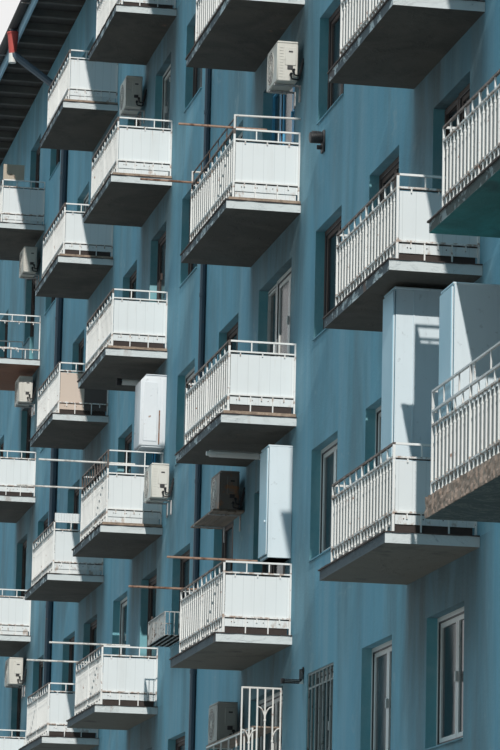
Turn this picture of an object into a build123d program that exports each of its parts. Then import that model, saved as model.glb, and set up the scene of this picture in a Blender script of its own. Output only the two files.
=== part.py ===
from build123d import *
import math
import os

# Apartment block with six columns of cantilevered balconies, as a 1:2 scale model.
# Sizes are millimetres of the model. X runs along the facade, the balconies face -Y,
# and Z is up from the ground. The origin is the middle of the footprint on the ground.

# Body of the building
length = 27500
depth = 6000
wall_thickness = 220
end_wall_thickness = 240
plinth_height = 500
storey_height = 1500
storeys = 7
floor_thickness = 110
ground_slab_thickness = 120
wall_head_rise = 250

# The facade is set out in equal steps along its length, counted from the middle
facade_step_count = 55
step = length / facade_step_count

# Windows and balcony doors, with heights above each floor
sill_height = 440
head_height = 1190
window_width = 805
door_leaf_width = 350
glass_thickness = 12
front_window_steps = [-24.6, -16.3, -11.8, -5.33, 0.98, 4.7, 11.85, 15.08, 26.02]
back_window_count = 9
first_balcony_storey = 3

# Balcony columns: steps to the slab's centre, slab length,
# steps to the door unit's centre, its width, and the side its door leaf is on
balcony_columns = {
    "a": (-19.3, 1600, -19.74, 850, 1),
    "b": (-9.0, 1600, -8.95, 850, 1),
    "c": (-2.53, 1600, -2.2, 800, 1),
    "d": (8.2, 1800, 8.26, 1175, -1),
    "e": (18.28, 1660, 18.45, 850, -1),
    "f": (23.35, 1600, 23.45, 850, 1),
}
balcony_projection = 525
balcony_thickness = 60

# A levelling layer under some balconies' floors, and a kerb round the edge of one
layered_balconies = [("b", 6), ("b", 7), ("c", 4), ("c", 5), ("c", 6), ("d", 4), ("d", 5)]
floor_layer_thickness = 28
floor_layer_inset = 20
kerb_balcony = ("f", 3)
kerb_width = 50
kerb_height = 50

# Balcony railings
rail_set_back = 58
rail_depth = 14
handrail_height = 500
handrail_width = 12
rail_width = 10
second_rail_drop = 74
third_rail_height = 125
post_width = 11
front_post_count = 3
sheet_thickness = 4
sheet_bottom = 55
sheet_top_gap = 12
sheet_corner_gap = 6
balcony_without_sheets = ("a", 6)
extra_rail_rises = {("c", 4): 118, ("f", 3): 105}

# Bent tubes over the side handrails of one balcony
tube_balcony = ("d", 5)
tube_front_rise = 92
tube_wall_rise = 100
tube_radius = 7
tube_wall_gap = 0.8

# Screens above the handrail: column, storey, height
screens = [("a", 7, 170), ("b", 4, 75)]
screen_width = 235

# Clothes poles on the front handrail, beside both side railings: column, storey, reach from the wall
clothes_poles = [("d", 5, 860), ("d", 3, 860), ("c", 4, 1050), ("c", 3, 910)]
pole_radius = 8
pole_start = 235
pole_gap = 2

# Roof and eaves
eave_overhang = 500
roof_pitch = 20
roof_thickness = 50
verge_overhang = 80
eave_beam_width = 60
eave_beam_height = 75
eave_beam_count = 54
eave_board_thickness = 18
fascia_thickness = 22
fascia_height = 150
ridge_cap_width = 260
ridge_cap_thickness = 12

# Gutters and rainwater pipes: steps along the facade, radius, steps from the wall pipe to its outlet
gutter_radius = 48
gutter_thickness = 5
gutter_side_count = 12
front_pipes = [(-14.29, 36, -0.8), (2.65, 24, 0)]
back_pipes = [(-22.6, 36, 0), (3.1, 36, 0), (22.6, 36, 0)]
pipe_side_count = 8
pipe_bottom = 120
pipe_gap = 0.3
pipe_drop = 260
pipe_slant_drop = 520

# Entrances on the back
entrance_count = 3
entrance_width = 620
entrance_height = 1040
door_thickness = 60
canopy_length = 1300
canopy_projection = 450
canopy_thickness = 70
canopy_clearance = 100

# Air coolers on wall brackets: column, distance from its centre, storey, drop below the next floor
cooler_width = 360
cooler_height = 290
cooler_depth = 150
cooler_wall_gap = 40
bracket_width = 20
bracket_thickness = 10
bracket_height = 120
bracket_coolers = [
    ("a", 385, 6, 195),
    ("a", 385, 5, 140),
    ("a", 385, 3, 210),
    ("c", -895, 6, 190),
    ("c", 1125, 4, 1040),
    ("d", 720, 5, 335),
]
cage_cooler = ("d", -975, 2, 298)
shelf_cooler = ("d", -1110, 3, 90)
shelf_length = 940
shelf_depth = 240
shelf_thickness = 14
shelf_offset = -270

# Cabinets against the wall over the lowest balconies: column, inset of the near side,
# depth, height of the bottom above the floor, gap to the slab above
cabinet_width = 260
cabinets = [("d", 93, 180, 540, 120), ("e", 290, 430, 0, 25), ("f", 1285, 480, 0, 320)]
wall_box_column = "c"
wall_box_offset = 665
wall_box_storey = 4
wall_box_rise = 690
wall_box_width = 300
wall_box_depth = 220
wall_box_height = 600

# Flue pipes: column, distance from its centre, storey, drop of the axis below the next floor, reach
flues = [("d", 60, 3, 138, 450), ("c", 265, 4, 182, 300)]
flue_radius = 24
elbow_flue = ("d", 1300, 2, 350, 150)
elbow_flue_radius = 14
elbow_flue_rise = 75

# Barred cage round the window under the fourth column: its near side is a tall
# panel, and a ledge over its front and far side carries a cooler
cage_column = "d"
cage_storey = 2
cage_offset = -300
cage_length = 1740
cage_depth = 200
cage_bottom = 380
cage_bar = 10
cage_panel_depth = 280
cage_panel_top = 1175
cage_panel_bars = 6
cage_front_bars = 7
cage_side_bars = 3
ledge_thickness = 12

# Rack under one window, and the lamp on the wall
rack_window = 4
rack_storey = 3
rack_length = 800
rack_projection = 190
rack_height = 195
rack_bar = 8
rack_post_count = 4
lamp_step = 11.47
lamp_storey = 5
lamp_rise = 187
lamp_plate = (80, 16, 150)
lamp_body = (90, 86, 75)
lamp_body_rise = 20

# Values worked out from the sizes above
half_length = length / 2
half_depth = depth / 2
wall_top = plinth_height + storeys * storey_height + wall_head_rise
side_wall_length = length - 2 * end_wall_thickness
inner_depth = depth - 2 * wall_thickness
beam_top = wall_top + eave_beam_height
board_top = beam_top + eave_board_thickness
eave_reach = half_depth + eave_overhang
slope = math.tan(math.radians(roof_pitch))
ridge_height = board_top + eave_reach * slope
back_window_spacing = side_wall_length / back_window_count
back_window_centres = [
    (i - (back_window_count - 1) / 2) * back_window_spacing for i in range(back_window_count)
]
entrance_centres = back_window_centres[1::back_window_count // entrance_count]


def floor_level(storey):
    """Height of the finished floor of a storey; storey 1 stands on the plinth."""
    return plinth_height + (storey - 1) * storey_height


def balcony_storeys():
    return range(first_balcony_storey, storeys + 1)


def balcony_top(column, storey):
    """Height of a balcony's floor, over its levelling layer if it has one."""
    rise = floor_layer_thickness if (column, storey) in layered_balconies else 0
    return floor_level(storey) + rise


def rail_inset(column, storey):
    """From the slab's edge in to the railing; on the kerbed balcony it stands on the kerb."""
    return kerb_width / 2 if (column, storey) == kerb_balcony else rail_set_back


def rail_line(column, storey):
    """From the wall out to the middle of the front railing."""
    return balcony_projection - rail_inset(column, storey)


def rail_foot(column, storey):
    """Height of the posts' feet above the balcony's floor."""
    return kerb_height if (column, storey) == kerb_balcony else 0


def slab_centre(column):
    return balcony_columns[column][0] * step


def slab_length(column):
    return balcony_columns[column][1]


def block(width, thickness, height, x, y, bottom):
    """A box given by its size, the middle of its base in plan and its bottom."""
    return Pos(x, y, bottom + height / 2) * Box(width, thickness, height)


def across(x, z):
    """A plane that faces along X, with its first axis pointing out of the front wall."""
    return Plane(origin=(x, -half_depth, z), x_dir=(0, -1, 0), z_dir=(-1, 0, 0))


# Openings in the long walls
def window_cut(x, y, storey, width):
    height = head_height - sill_height
    return block(width, 2 * wall_thickness, height, x, y, floor_level(storey) + sill_height)


def door_unit_cuts(x, y, storey, width, leaf_side):
    """A window with a balcony door beside it, under one head."""
    door_x = x + leaf_side * (width - door_leaf_width) / 2
    door = block(door_leaf_width, 2 * wall_thickness, head_height, door_x, y, floor_level(storey))
    return [window_cut(x, y, storey, width), door]


def front_cuts():
    y = -half_depth + wall_thickness / 2
    cuts = []
    for storey in range(1, storeys + 1):
        for steps in front_window_steps:
            cuts.append(window_cut(steps * step, y, storey, window_width))
        for _, _, steps, width, leaf_side in balcony_columns.values():
            if storey in balcony_storeys():
                cuts.extend(door_unit_cuts(steps * step, y, storey, width, leaf_side))
            else:
                cuts.append(window_cut(steps * step, y, storey, width))
    return cuts


def back_cuts():
    y = half_depth - wall_thickness / 2
    cuts = []
    for x in entrance_centres:
        cuts.append(block(entrance_width, 2 * wall_thickness, entrance_height, x, y, ground_slab_thickness))
    for storey in range(1, storeys + 1):
        for x in back_window_centres:
            if storey > 1 or x not in entrance_centres:
                cuts.append(window_cut(x, y, storey, window_width))
    return cuts


# Walls
def front_wall():
    y = -half_depth + wall_thickness / 2
    return block(side_wall_length, wall_thickness, wall_top, 0, y, 0) - front_cuts()


def back_wall():
    y = half_depth - wall_thickness / 2
    return block(side_wall_length, wall_thickness, wall_top, 0, y, 0) - back_cuts()


def end_wall(side):
    """A blank end wall that rises to the roof slopes as a gable."""
    shoulder = board_top + (eave_reach - half_depth) * slope
    outline = Polyline(
        (-half_depth, 0),
        (half_depth, 0),
        (half_depth, shoulder),
        (0, ridge_height),
        (-half_depth, shoulder),
        close=True,
    )
    face = Plane.YZ * make_face(outline)
    start = -half_length if side < 0 else half_length - end_wall_thickness
    return Pos(start, 0, 0) * extrude(face, end_wall_thickness)


# Floors
def ground_slab():
    return block(side_wall_length, inner_depth, ground_slab_thickness, 0, 0, 0)


def floor_slabs():
    levels = [floor_level(storey) - floor_thickness for storey in range(1, storeys + 1)]
    return [block(side_wall_length, inner_depth, floor_thickness, 0, 0, level) for level in levels]


def attic_slab():
    bottom = plinth_height + storeys * storey_height
    return block(side_wall_length, inner_depth, floor_thickness, 0, 0, bottom)


# Roof and eaves
def eave_beams():
    """Ceiling beams that lie on the long walls and carry the eaves on both sides."""
    beams = []
    run = side_wall_length - 2 * eave_beam_width
    spacing = run / (eave_beam_count - 1)
    for i in range(eave_beam_count):
        x = -run / 2 + i * spacing
        beams.append(block(eave_beam_width, 2 * eave_reach, eave_beam_height, x, 0, wall_top))
    return beams


def eave_boards():
    width = eave_reach - half_depth + wall_thickness
    y = eave_reach - width / 2
    return [block(side_wall_length, width, eave_board_thickness, 0, side * y, beam_top) for side in (-1, 1)]


def along_roof(outline):
    """A roof profile in the YZ plane, drawn out over the length and both verges."""
    roof_length = length + 2 * verge_overhang
    return Pos(-roof_length / 2, 0, 0) * extrude(Plane.YZ * make_face(outline), roof_length)


def roof_slope(side):
    rise = roof_thickness / math.cos(math.radians(roof_pitch))
    return along_roof(Polyline(
        (side * eave_reach, board_top),
        (0, ridge_height),
        (0, ridge_height + rise),
        (side * eave_reach, board_top + rise),
        close=True,
    ))


def ridge_cap():
    top = ridge_height + roof_thickness / math.cos(math.radians(roof_pitch))
    half = ridge_cap_width / 2
    edge = top - half * slope
    return along_roof(Polyline(
        (-half, edge),
        (0, top),
        (half, edge),
        (half, edge + ridge_cap_thickness),
        (0, top + ridge_cap_thickness),
        (-half, edge + ridge_cap_thickness),
        close=True,
    ))


def fascia_boards():
    y = eave_reach + fascia_thickness / 2
    bottom = board_top - fascia_height
    return [block(length, fascia_thickness, fascia_height, 0, side * y, bottom) for side in (-1, 1)]


def gutters():
    """Half-round gutters hung against the fascia boards."""
    outer = RegularPolygon(gutter_radius, gutter_side_count, major_radius=False)
    inner = RegularPolygon(gutter_radius - gutter_thickness, gutter_side_count, major_radius=False)
    lower_half = Pos(0, -gutter_radius) * Rectangle(4 * gutter_radius, 2 * gutter_radius)
    channel = extrude(Plane.YZ * ((outer - inner) & lower_half), length)
    y = eave_reach + fascia_thickness + gutter_radius
    z = board_top - gutter_thickness
    return [Pos(-half_length, side * y, z) * channel for side in (-1, 1)]


def downpipe(steps, radius, outlet_steps, side):
    """A pipe that leaves the gutter, slants back to the wall and runs down it."""
    x = steps * step
    outlet_x = x + outlet_steps * step
    wall_y = side * (half_depth + radius + pipe_gap)
    gutter_y = side * (eave_reach + fascia_thickness + gutter_radius)
    outlet = board_top - gutter_thickness - gutter_radius - pipe_gap
    corner = outlet - pipe_drop
    seat = corner - pipe_slant_drop
    path = Polyline(
        (outlet_x, gutter_y, outlet),
        (outlet_x, gutter_y, corner),
        (x, wall_y, seat),
        (x, wall_y, pipe_bottom),
    )
    section = Plane(origin=path @ 0, z_dir=path % 0, x_dir=(1, 0, 0)) * polygon_tube(radius)
    return sweep(section, path=path, transition=Transition.RIGHT)


def polygon_tube(radius):
    """Section of a round tube, with few sides, one of them flat on what carries it."""
    return RegularPolygon(radius, pipe_side_count, major_radius=False, rotation=180 / pipe_side_count)


# Balconies
def balcony_slabs(column):
    """Slabs, each with the levelling layer or the kerb that it carries."""
    x = slab_centre(column)
    y = -half_depth - balcony_projection / 2
    width = slab_length(column)
    slabs = []
    for storey in balcony_storeys():
        floor = floor_level(storey)
        slab = block(width, balcony_projection, balcony_thickness, x, y, floor - balcony_thickness)
        if (column, storey) in layered_balconies:
            layer_width = width - 2 * floor_layer_inset
            layer_depth = balcony_projection - floor_layer_inset
            layer_y = -half_depth - layer_depth / 2
            slab += block(layer_width, layer_depth, floor_layer_thickness, x, layer_y, floor)
        if (column, storey) == kerb_balcony:
            slab += kerb(x, width, floor)
        slabs.append(slab)
    return slabs


def kerb(x, width, floor):
    """An edge along the slab's front and both ends, open at the wall."""
    y = -half_depth - balcony_projection / 2
    rim = block(width, balcony_projection, kerb_height, x, y, floor)
    return rim - block(width - 2 * kerb_width, balcony_projection, kerb_height, x, y + kerb_width, floor)


def rail_bands(column, storey):
    """The rails as pairs of bottom and top heights above the floor, lowest first."""
    second = handrail_height - second_rail_drop
    bands = [
        (third_rail_height - rail_width, third_rail_height),
        (second - rail_width, second),
        (handrail_height - handrail_width, handrail_height),
    ]
    rise = extra_rail_rises.get((column, storey), 0)
    if rise:
        bands.append((handrail_height + rise - rail_width, handrail_height + rise))
    return bands


def front_panel(column, storey):
    """Flat grid of rails and main posts along the front edge."""
    width = slab_length(column) - 2 * rail_inset(column, storey)
    foot = rail_foot(column, storey)
    bands = rail_bands(column, storey)
    top = bands[-1][1]
    grid = Pos(0, (foot + top) / 2) * Rectangle(width, top - foot)
    bay = (width - post_width) / (front_post_count - 1)
    gap_bottom = foot
    for rail_bottom, rail_top in bands:
        for i in range(front_post_count - 1):
            x = (post_width - width) / 2 + (i + 0.5) * bay
            middle = (gap_bottom + rail_bottom) / 2
            grid -= Pos(x, middle) * Rectangle(bay - post_width, rail_bottom - gap_bottom)
        gap_bottom = rail_top
    return extrude(Plane.XZ * grid, rail_depth / 2, both=True)


def front_railings(column):
    panels = []
    for storey in balcony_storeys():
        y = -half_depth - rail_line(column, storey)
        place = Pos(slab_centre(column), y, balcony_top(column, storey))
        panels.append(place * front_panel(column, storey))
    return panels


def side_rail_offset(column, storey):
    """From the balcony's centre to the middle of its side railing."""
    return slab_length(column) / 2 - rail_inset(column, storey) - rail_depth / 2


def side_railings(column):
    """The rails go back from the front posts to a post at the wall."""
    panels = []
    for storey in balcony_storeys():
        width = rail_line(column, storey) - rail_depth / 2
        foot = rail_foot(column, storey)
        bands = rail_bands(column, storey)
        top = bands[-1][1]
        comb = Pos(post_width / 2, (foot + top) / 2) * Rectangle(post_width, top - foot)
        for rail_bottom, rail_top in bands:
            comb += Pos(width / 2, (rail_bottom + rail_top) / 2) * Rectangle(width, rail_top - rail_bottom)
        for side in (-1, 1):
            x = slab_centre(column) + side * side_rail_offset(column, storey)
            panels.append(extrude(across(x, balcony_top(column, storey)) * comb, rail_depth / 2, both=True))
    return panels


def railing_sheets():
    """Flat metal sheets behind the bars, on the front and both sides of each balcony."""
    sheets = []
    height = handrail_height - second_rail_drop - rail_width - sheet_top_gap - sheet_bottom
    for column in balcony_columns:
        x = slab_centre(column)
        for storey in balcony_storeys():
            if (column, storey) == balcony_without_sheets:
                continue
            reach = rail_line(column, storey)
            front_y = -half_depth - reach + (rail_depth + sheet_thickness) / 2
            side_length = reach - rail_depth / 2 - sheet_corner_gap - post_width
            side_y = -half_depth - post_width - side_length / 2
            side_x = side_rail_offset(column, storey) - (rail_depth + sheet_thickness) / 2
            front_length = 2 * side_x - sheet_thickness - 2 * sheet_corner_gap
            bottom = balcony_top(column, storey) + sheet_bottom
            sheets.append(block(front_length, sheet_thickness, height, x, front_y, bottom))
            for side in (-1, 1):
                sheets.append(block(sheet_thickness, side_length, height, x + side * side_x, side_y, bottom))
    return sheets


def bent_tubes():
    """A tube over each side handrail, up from the front post and back to the wall."""
    column, storey = tube_balcony
    tubes = []
    for side in (-1, 1):
        x = slab_centre(column) + side * side_rail_offset(column, storey)
        front_y = -half_depth - rail_line(column, storey)
        base = balcony_top(column, storey) + handrail_height
        path = Polyline(
            (x, front_y, base),
            (x, front_y, base + tube_front_rise),
            (x, -half_depth - tube_wall_gap, base + tube_wall_rise),
        )
        section = Plane(origin=path @ 0, z_dir=path % 0, x_dir=(1, 0, 0)) * polygon_tube(tube_radius)
        tubes.append(sweep(section, path=path, transition=Transition.RIGHT))
    return tubes


def balcony_screens():
    """Sheets that stand on the side handrail by the front corner."""
    sheets = []
    for column, storey, height in screens:
        x = slab_centre(column) + side_rail_offset(column, storey)
        y = -half_depth - rail_line(column, storey) + screen_width / 2
        bottom = balcony_top(column, storey) + handrail_height
        sheets.append(block(sheet_thickness, screen_width, height, x, y, bottom))
    return sheets


def pole_pairs():
    """Clothes poles that lie on the front handrail and stick out past it."""
    poles = []
    for column, storey, reach in clothes_poles:
        offset = side_rail_offset(column, storey) - tube_radius - pole_gap - pole_radius
        for side in (-1, 1):
            x = slab_centre(column) + side * offset
            z = balcony_top(column, storey) + handrail_height + pole_radius
            poles.append(wall_tube(x, z, pole_radius, pole_start, reach))
    return poles


def wall_tube(x, z, radius, start, end):
    """A level tube that points out of the front wall."""
    section = Plane(origin=(x, -half_depth - start, z), x_dir=(1, 0, 0), z_dir=(0, -1, 0))
    return extrude(section * polygon_tube(radius), end - start)


# Glass and entrances
def glass_sheets(side):
    """One sheet a storey against the inner face of the wall closes its windows."""
    y = side * (inner_depth / 2 - glass_thickness / 2)
    height = storey_height - floor_thickness
    levels = [floor_level(storey) for storey in range(1, storeys + 1)]
    return [block(side_wall_length, glass_thickness, height, 0, y, level) for level in levels]


def entrance_doors():
    y = half_depth - wall_thickness / 2
    bottom = ground_slab_thickness
    return [block(entrance_width, door_thickness, entrance_height, x, y, bottom) for x in entrance_centres]


def entrance_canopies():
    y = half_depth + canopy_projection / 2
    z = ground_slab_thickness + entrance_height + canopy_clearance
    return [block(canopy_length, canopy_projection, canopy_thickness, x, y, z) for x in entrance_centres]


# Air coolers and what carries them
def cooler_bottom(place):
    column, offset, storey, drop = place
    return floor_level(storey + 1) - drop - cooler_height


def cooler(place):
    column, offset, storey, drop = place
    y = -half_depth - cooler_wall_gap - cooler_depth / 2
    x = slab_centre(column) + offset
    return block(cooler_width, cooler_depth, cooler_height, x, y, cooler_bottom(place))


def air_coolers():
    return [cooler(place) for place in bracket_coolers + [cage_cooler, shelf_cooler]]


def angle_iron(x, top, reach):
    """An angle bracket on the wall, upright leg down."""
    outline = Polyline(
        (0, 0),
        (reach, 0),
        (reach, -bracket_thickness),
        (bracket_thickness, -bracket_thickness),
        (bracket_thickness, -bracket_height),
        (0, -bracket_height),
        close=True,
    )
    return extrude(across(x, top) * make_face(outline), bracket_width / 2, both=True)


def cooler_brackets():
    irons = []
    for place in bracket_coolers:
        for side in (-1, 1):
            x = slab_centre(place[0]) + place[1] + side * cooler_width / 4
            irons.append(angle_iron(x, cooler_bottom(place), cooler_wall_gap + cooler_depth))
    for side in (-1, 1):
        x = slab_centre(shelf_cooler[0]) + shelf_cooler[1] + shelf_offset + side * shelf_length / 3
        irons.append(angle_iron(x, cooler_bottom(shelf_cooler) - shelf_thickness, shelf_depth))
    return irons


def cooler_shelves():
    """The shelf on its irons, and the ledge that covers the cage."""
    x = slab_centre(shelf_cooler[0]) + shelf_cooler[1] + shelf_offset
    bottom = cooler_bottom(shelf_cooler) - shelf_thickness
    shelf = block(shelf_length, shelf_depth, shelf_thickness, x, -half_depth - shelf_depth / 2, bottom)
    ledge_x = (cage_end(-1) + cage_end(1)) / 2
    ledge_y = -half_depth - cage_depth / 2
    ledge = block(cage_length, cage_depth, ledge_thickness, ledge_x, ledge_y, ledge_bottom())
    return [shelf, ledge]


# Cabinets, flues, lamp, cage and rack on the front
def balcony_cabinets():
    """Tall cabinets against the wall; two stand on their balconies and one hangs over its own."""
    shapes = []
    slab_above = floor_level(first_balcony_storey + 1) - balcony_thickness
    for column, inset, cabinet_depth, rise, head_gap in cabinets:
        x = slab_centre(column) + slab_length(column) / 2 - inset - cabinet_width / 2
        y = -half_depth - cabinet_depth / 2
        bottom = balcony_top(column, first_balcony_storey) + rise
        shapes.append(block(cabinet_width, cabinet_depth, slab_above - head_gap - bottom, x, y, bottom))
    return shapes


def wall_box():
    """A closed metal cabinet on the wall over the third column's balcony."""
    x = slab_centre(wall_box_column) + wall_box_offset
    y = -half_depth - wall_box_depth / 2
    bottom = floor_level(wall_box_storey) + wall_box_rise
    return block(wall_box_width, wall_box_depth, wall_box_height, x, y, bottom)


def flue_pipes():
    pipes = []
    for column, offset, storey, drop, reach in flues:
        x = slab_centre(column) + offset
        pipes.append(wall_tube(x, floor_level(storey + 1) - drop, flue_radius, 0, reach))
    column, offset, storey, drop, reach = elbow_flue
    x = slab_centre(column) + offset
    z = floor_level(storey + 1) - drop
    wall_y = -half_depth - elbow_flue_radius
    path = Polyline((x, wall_y, z + elbow_flue_rise), (x, wall_y, z), (x, -half_depth - reach, z))
    section = Plane(origin=path @ 0, z_dir=path % 0, x_dir=(1, 0, 0)) * polygon_tube(elbow_flue_radius)
    pipes.append(sweep(section, path=path, transition=Transition.RIGHT))
    return pipes


def lamp():
    """A floodlight on its wall plate."""
    width, thickness, height = lamp_plate
    z = floor_level(lamp_storey) + lamp_rise
    plate = block(width, thickness, height, lamp_step * step, -half_depth - thickness / 2, z)
    body_width, body_depth, body_height = lamp_body
    y = -half_depth - thickness - body_depth / 2
    middle = z + (height - body_height) / 2 + lamp_body_rise
    return plate + block(body_width, body_depth, body_height, lamp_step * step, y, middle)


def bar_grid(width, height, bar, bar_count):
    """Upright bars between a bottom and a top rail, as one flat grid."""
    grid = Rectangle(width, height)
    bay = (width - bar) / (bar_count - 1)
    for i in range(bar_count - 1):
        x = (bar - width) / 2 + (i + 0.5) * bay
        grid -= Pos(x, 0) * Rectangle(bay - bar, height - 2 * bar)
    return grid


def cage_grid(width, height, bar_count):
    return bar_grid(width, height, cage_bar, bar_count)


def cage_base():
    return floor_level(cage_storey) + cage_bottom


def cage_end(side):
    """The cage's far or near end along the wall, at the inner face of its side."""
    return slab_centre(cage_column) + cage_offset + side * cage_length / 2


def ledge_bottom():
    return cooler_bottom(cage_cooler) - ledge_thickness


def cage_sides():
    """The tall panel on the near side, and the low grid on the far side."""
    height = floor_level(cage_storey) + cage_panel_top - cage_base()
    panel = Pos(cage_panel_depth / 2, 0) * cage_grid(cage_panel_depth, height, cage_panel_bars)
    near = across(cage_end(1) + cage_bar / 2, cage_base() + height / 2) * panel
    low_height = ledge_bottom() - cage_base()
    low_width = cage_depth - cage_bar
    low = Pos(low_width / 2, 0) * cage_grid(low_width, low_height, cage_side_bars)
    far = across(cage_end(-1) + cage_bar / 2, cage_base() + low_height / 2) * low
    return [extrude(side, cage_bar / 2, both=True) for side in (near, far)]


def cage_front():
    x = (cage_end(-1) + cage_end(1)) / 2
    height = ledge_bottom() - cage_base()
    grid = cage_grid(cage_length, height, cage_front_bars)
    y = -half_depth - cage_depth + cage_bar / 2
    return Pos(x, y, cage_base() + height / 2) * extrude(Plane.XZ * grid, cage_bar / 2, both=True)


def window_rack():
    """A tray with a low rail round it, under the sill of one window."""
    x = front_window_steps[rack_window] * step
    bottom = floor_level(rack_storey) + sill_height
    y = -half_depth - rack_projection / 2
    rack = block(rack_length, rack_projection, rack_bar, x, y, bottom)
    top = bottom + rack_height - rack_bar
    outer = block(rack_length, rack_projection, rack_bar, x, y, top)
    rack += outer - block(rack_length - 2 * rack_bar, rack_projection, 2 * rack_bar, x, y + rack_bar, top)
    for i in range(rack_post_count):
        post_x = x + (i / (rack_post_count - 1) - 0.5) * (rack_length - rack_bar)
        post_y = -half_depth - rack_projection + rack_bar / 2
        rack += block(rack_bar, rack_bar, rack_height, post_x, post_y, bottom)
    return rack


# One file for each named piece
def save(name, shapes):
    """Writes one shape, or a list of shapes that don't touch, to its own file."""
    if not isinstance(shapes, list):
        shapes = [shapes]
    solids = [solid for shape in shapes for solid in shape.solids()]
    export_step(solids[0] if len(solids) == 1 else Compound(children=solids), f"parts/{name}.step")


os.makedirs("parts", exist_ok=True)
save("ground_slab", ground_slab())
save("front_wall", front_wall())
save("back_wall", back_wall())
save("left_end_wall", end_wall(-1))
save("right_end_wall", end_wall(1))
save("floor_slabs", floor_slabs())
save("attic_slab", attic_slab())
save("eave_beams", eave_beams())
save("eave_boards", eave_boards())
save("front_roof_slope", roof_slope(-1))
save("back_roof_slope", roof_slope(1))
save("ridge_cap", ridge_cap())
save("fascia_boards", fascia_boards())
save("gutters", gutters())
save("front_downpipes", [downpipe(*pipe, -1) for pipe in front_pipes])
save("back_downpipes", [downpipe(*pipe, 1) for pipe in back_pipes])
for letter in balcony_columns:
    save(f"balcony_slabs_{letter}", balcony_slabs(letter))
    save(f"front_railings_{letter}", front_railings(letter))
    save(f"side_railings_{letter}", side_railings(letter))
save("railing_sheets", railing_sheets())
save("bent_tubes", bent_tubes())
save("balcony_screens", balcony_screens())
save("clothes_poles", pole_pairs())
save("front_glass", glass_sheets(-1))
save("back_glass", glass_sheets(1))
save("entrance_doors", entrance_doors())
save("entrance_canopies", entrance_canopies())
save("air_coolers", air_coolers())
save("cooler_brackets", cooler_brackets())
save("cooler_shelf", cooler_shelves())
save("balcony_cabinets", balcony_cabinets())
save("wall_box", wall_box())
save("flue_pipes", flue_pipes())
save("wall_lamp", lamp())
save("cage_sides", cage_sides())
save("cage_front", cage_front())
save("window_rack", window_rack())
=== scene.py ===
from math import cos, pi, radians, sin, tan

import bpy
from mathutils import Matrix, Vector


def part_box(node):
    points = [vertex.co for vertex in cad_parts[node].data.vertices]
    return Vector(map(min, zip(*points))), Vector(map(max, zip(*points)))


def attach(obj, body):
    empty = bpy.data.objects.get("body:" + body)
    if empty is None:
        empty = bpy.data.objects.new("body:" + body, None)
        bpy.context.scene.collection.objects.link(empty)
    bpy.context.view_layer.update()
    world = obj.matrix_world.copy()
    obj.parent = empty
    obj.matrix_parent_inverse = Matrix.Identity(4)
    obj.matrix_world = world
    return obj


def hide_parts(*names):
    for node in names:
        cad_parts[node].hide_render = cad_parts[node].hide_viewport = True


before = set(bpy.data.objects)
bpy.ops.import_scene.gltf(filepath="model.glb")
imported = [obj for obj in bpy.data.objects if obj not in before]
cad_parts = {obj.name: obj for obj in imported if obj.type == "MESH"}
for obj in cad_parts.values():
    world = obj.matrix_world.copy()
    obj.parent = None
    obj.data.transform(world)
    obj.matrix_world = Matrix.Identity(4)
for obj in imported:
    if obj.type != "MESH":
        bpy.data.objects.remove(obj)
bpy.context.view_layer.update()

# Sizes of the block, in metres, the same as in the solids
STOREY = 1.5
PLINTH = 0.5
STOREYS = range(1, 8)
BALCONY_STOREYS = range(3, 8)
FACADE = -3.0
BACK = 3.0
LENGTH = 27.5
PROJECTION = 0.525
COLUMNS = {
    "a": (-9.65, 1.6), "b": (-4.5, 1.6), "c": (-1.265, 1.6),
    "d": (4.1, 1.8), "e": (9.14, 1.66), "f": (11.675, 1.6),
}
LAYERED = {("b", 6), ("b", 7), ("c", 4), ("c", 5), ("c", 6), ("d", 4), ("d", 5)}
LAYER = 0.028
KERBED = ("f", 3)
KERB = 0.05
UNSHEETED = ("a", 6)
FILLED_FOOT = {("d", 5), ("b", 7), ("c", 6), ("c", 4), ("b", 4), ("a", 4), ("a", 7)}
EXTRA_RAIL = {("c", 4): 0.118, ("f", 3): 0.105}

# Railings, above the balcony's floor
SET_BACK = 0.058
RAIL_DEPTH = 0.014
HANDRAIL = 0.5
SECOND_RAIL = 0.426
THIRD_RAIL = 0.125
SHEET_WIDTH = 0.076
SHEET_SEAM = 0.0035
RAIL = 0.01
BAR = 0.008
POST = 0.011
FRONT_BAYS = 20
SIDE_BAYS = 6

# Windows and doors: sill and head above the floor, widths and places along the walls
SILL = 0.44
HEAD = 1.19
WINDOW = 0.805
LEAF = 0.35
REVEAL = 0.073
FRAME_BAR = 0.026
SASH_BAR = 0.032
PANE_MARGIN = 0.02
FRONT_WINDOWS = [-12.3, -8.15, -5.9, -2.665, 0.49, 2.35, 5.925, 7.54, 13.01]
UNITS = {
    "a": (-9.87, 0.85, 1), "b": (-4.475, 0.85, 1), "c": (-1.1, 0.8, 1),
    "d": (4.13, 1.175, -1), "e": (9.225, 0.85, -1), "f": (11.725, 0.85, 1),
}
WHITE_UNITS = {("d", 4), ("c", 6), ("b", 5)}
BLUE_UNITS = {("c", 4), ("d", 5)}
BACK_COUNT = 9
BACK_SPACING = 27.02 / BACK_COUNT
BACK_WINDOWS = [(i - (BACK_COUNT - 1) / 2) * BACK_SPACING for i in range(BACK_COUNT)]
ENTRANCES = BACK_WINDOWS[1::3]
GRILLE_X = 5.925
GRILLE_SPACING = 0.115

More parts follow.
